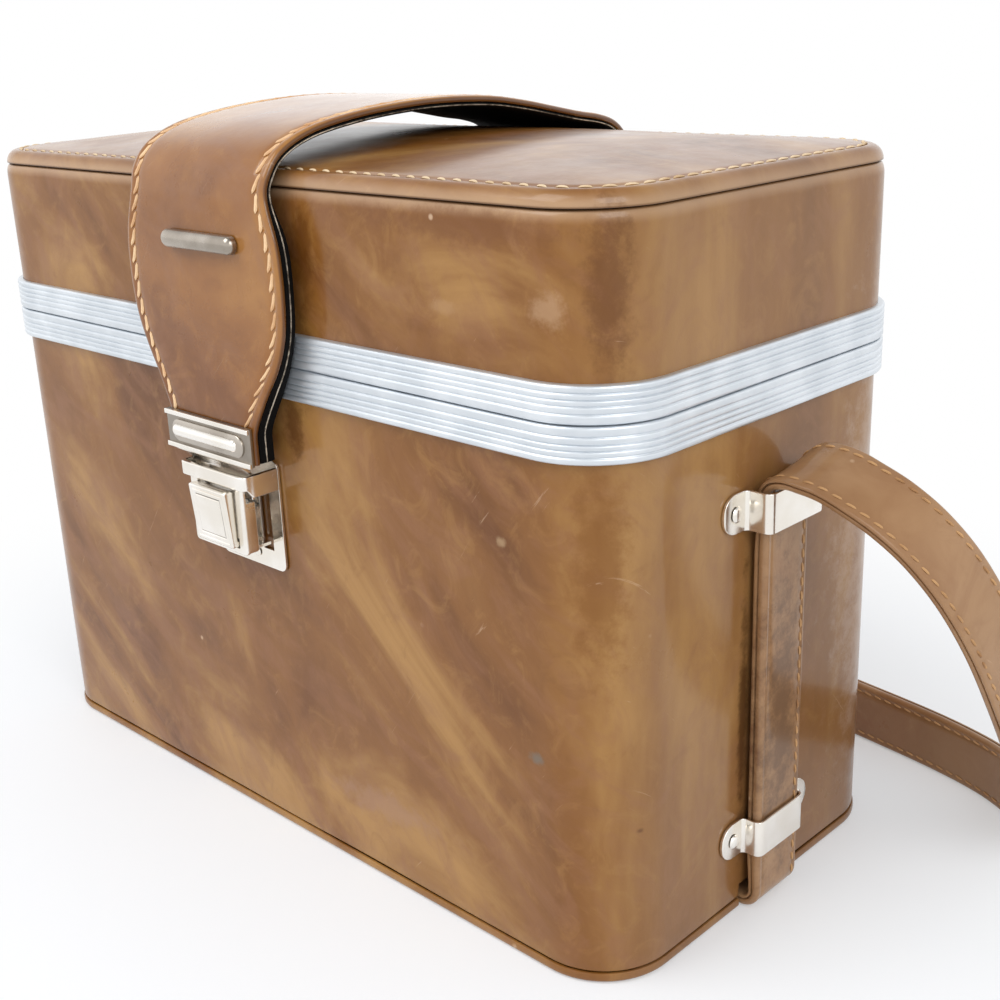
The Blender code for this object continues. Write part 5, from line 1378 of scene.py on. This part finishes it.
def covered_boards():
    """The bottom board with its dyed edge, and the divider's two plush channels."""
    bevelled_copy("covered_bottom_board", "bottom_panel", EDGE_DYE, "case", 0.5 * MM)
    for end in ("front", "rear"):
        node = f"divider_guide_{end}"
        bevelled_copy(f"plush_channel_{end}", node, PLUSH, "case", 0.4 * MM)


def lock_spring():
    """The coil behind the button, a bevelled copy with a mesh of its own; the real coil shortens towards
    the back plate as the button goes in.
    """
    spring = bevelled_copy("lock_coil_spring", "lock_spring", STEEL, "case", 0.05 * MM)
    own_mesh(spring)


def kept_solids():
    """The lock's pivot pin keeps its own shape, and gets its finish."""
    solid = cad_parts["lock_button_pin"]
    solid.data.materials.clear()
    solid.data.materials.append(STEEL)


# The stage: the camera where the photograph's stood, a pale floor and soft lamps

# Where the room's brightness in reflections begins and ends to fall, as a height, and its two levels
ROOM_FADE = (0.3, 0.9, 1.25, 0.48)
WORLD_LEVEL = 0.68
LAMP_AIM = (0, 0, 0.12)
# Each soft lamp: where it hangs, how wide it is, and its power in watts
LAMPS = (
    ((-0.5, -1.0, 1.5), 1.1, 13),
    ((1.3, -0.5, 1.2), 0.9, 9),
)
CAMERA_PLACE = (0.3936, -0.3519, 0.2903)
CAMERA_TURN = 44.5
CAMERA_TILT = 19.11
CAMERA_ROLL = -2.24
CAMERA_LENS = 50.14


def camera():
    """A camera that looks back along its own direction from the case, rolled a little."""
    turn, tilt, roll = (math.radians(a) for a in (CAMERA_TURN, CAMERA_TILT, CAMERA_ROLL))
    back = np.array((math.sin(turn) * math.cos(tilt), -math.cos(turn) * math.cos(tilt), math.sin(tilt)))
    right = unit(np.cross(Z, back))
    up = np.cross(back, right)
    turned_right = right * math.cos(roll) + up * math.sin(roll)
    turned_up = up * math.cos(roll) - right * math.sin(roll)
    lens = bpy.data.cameras.new("camera")
    lens.lens, lens.sensor_width = CAMERA_LENS, 36
    lens.clip_start, lens.clip_end = 0.02, 60
    eye = placed("camera", lens)
    axes = Matrix([Vector(v) for v in (turned_right, turned_up, back)]).transposed().to_4x4()
    eye.matrix_world = Matrix.Translation(CAMERA_PLACE) @ axes
    bpy.context.scene.camera = eye


def floor():
    """A large pale floor that keeps most of the shadow near the case, thinned by a painted white glow of
    three tenths, and turns white further out.
    """
    bpy.ops.mesh.primitive_plane_add(size=60)
    ground = bpy.context.object
    ground.name = "floor"
    look = Finish("pale_floor", roughness=0.6, base_color=srgb(246, 250, 255))
    distance = look.node("VectorMath", dict(operation="LENGTH"), Vector=look.spots.outputs["Object"])
    # painted light: camera and glossy rays see a white glow, three tenths of it even beside the case,
    # which thins the floor's shadow
    glow_share = look.ramp(distance.outputs["Value"], 0.17, 0.42, 0.3, 1.0)
    seen = look.node("LightPath")
    direct = look.sums("MAXIMUM", seen.outputs["Is Camera Ray"], seen.outputs["Is Glossy Ray"])
    white = look.node("Emission", Color=(1, 1, 1, 1), Strength=1.0)
    blend = look.node("MixShader", Fac=look.times(glow_share, direct))
    look.put(blend.inputs[1], look.shader.outputs[0])
    look.put(blend.inputs[2], white.outputs[0])
    look.put(look.tree.nodes["Material Output"].inputs["Surface"], blend.outputs[0])
    ground.data.materials.append(look.material)


def surroundings():
    """White to the camera, a plainer level as light, and in reflections bright near the horizon and
    dimmer overhead, as a room is."""
    world = bpy.data.worlds.new("soft_white")
    bpy.context.scene.world = world
    world.use_nodes = True
    room = Nodes(world.node_tree)
    seen = room.node("LightPath").outputs
    height = room.node("SeparateXYZ", Vector=room.spots.outputs["Generated"]).outputs["Z"]
    direct = room.sums("MAXIMUM", seen["Is Camera Ray"], seen["Is Transmission Ray"])
    mirrored = room.mix(seen["Is Glossy Ray"], WORLD_LEVEL, room.ramp(height, *ROOM_FADE), plain=True)
    back = room.tree.nodes["Background"].inputs
    room.put(back["Color"], (1, 1, 1, 1))
    room.put(back["Strength"], room.mix(direct, mirrored, 1.0, plain=True))


def lamps():
    """The two soft lamps, each turned to the case."""
    for number, (spot, width, power) in enumerate(LAMPS, 1):
        light = bpy.data.lights.new(f"soft_lamp_{number}", "AREA")
        light.size, light.energy = width, power
        lamp = placed(light.name, light)
        lamp.location = spot
        lamp.rotation_euler = (Vector(LAMP_AIM) - Vector(spot)).to_track_quat("-Z", "Y").to_euler()


shoulder_loop()
body_walls()
lid_walls()
lid_top()
foot_rim()
seam_frames()
carry_strap()
shoulder_run()
strap_bars()
lock_tongue()
lock_catch()
lock_button()
bevelled_copy("lock_slotted_plate", "lock_back_plate", NICKEL, "case", 0.3 * MM)
brackets()
hinges()
rivets()
linings()
divider()
covered_boards()
lock_spring()
kept_solids()
camera()
floor()
surroundings()
lamps()
bpy.context.scene.view_settings.view_transform = "Standard"
bpy.context.view_layer.update()
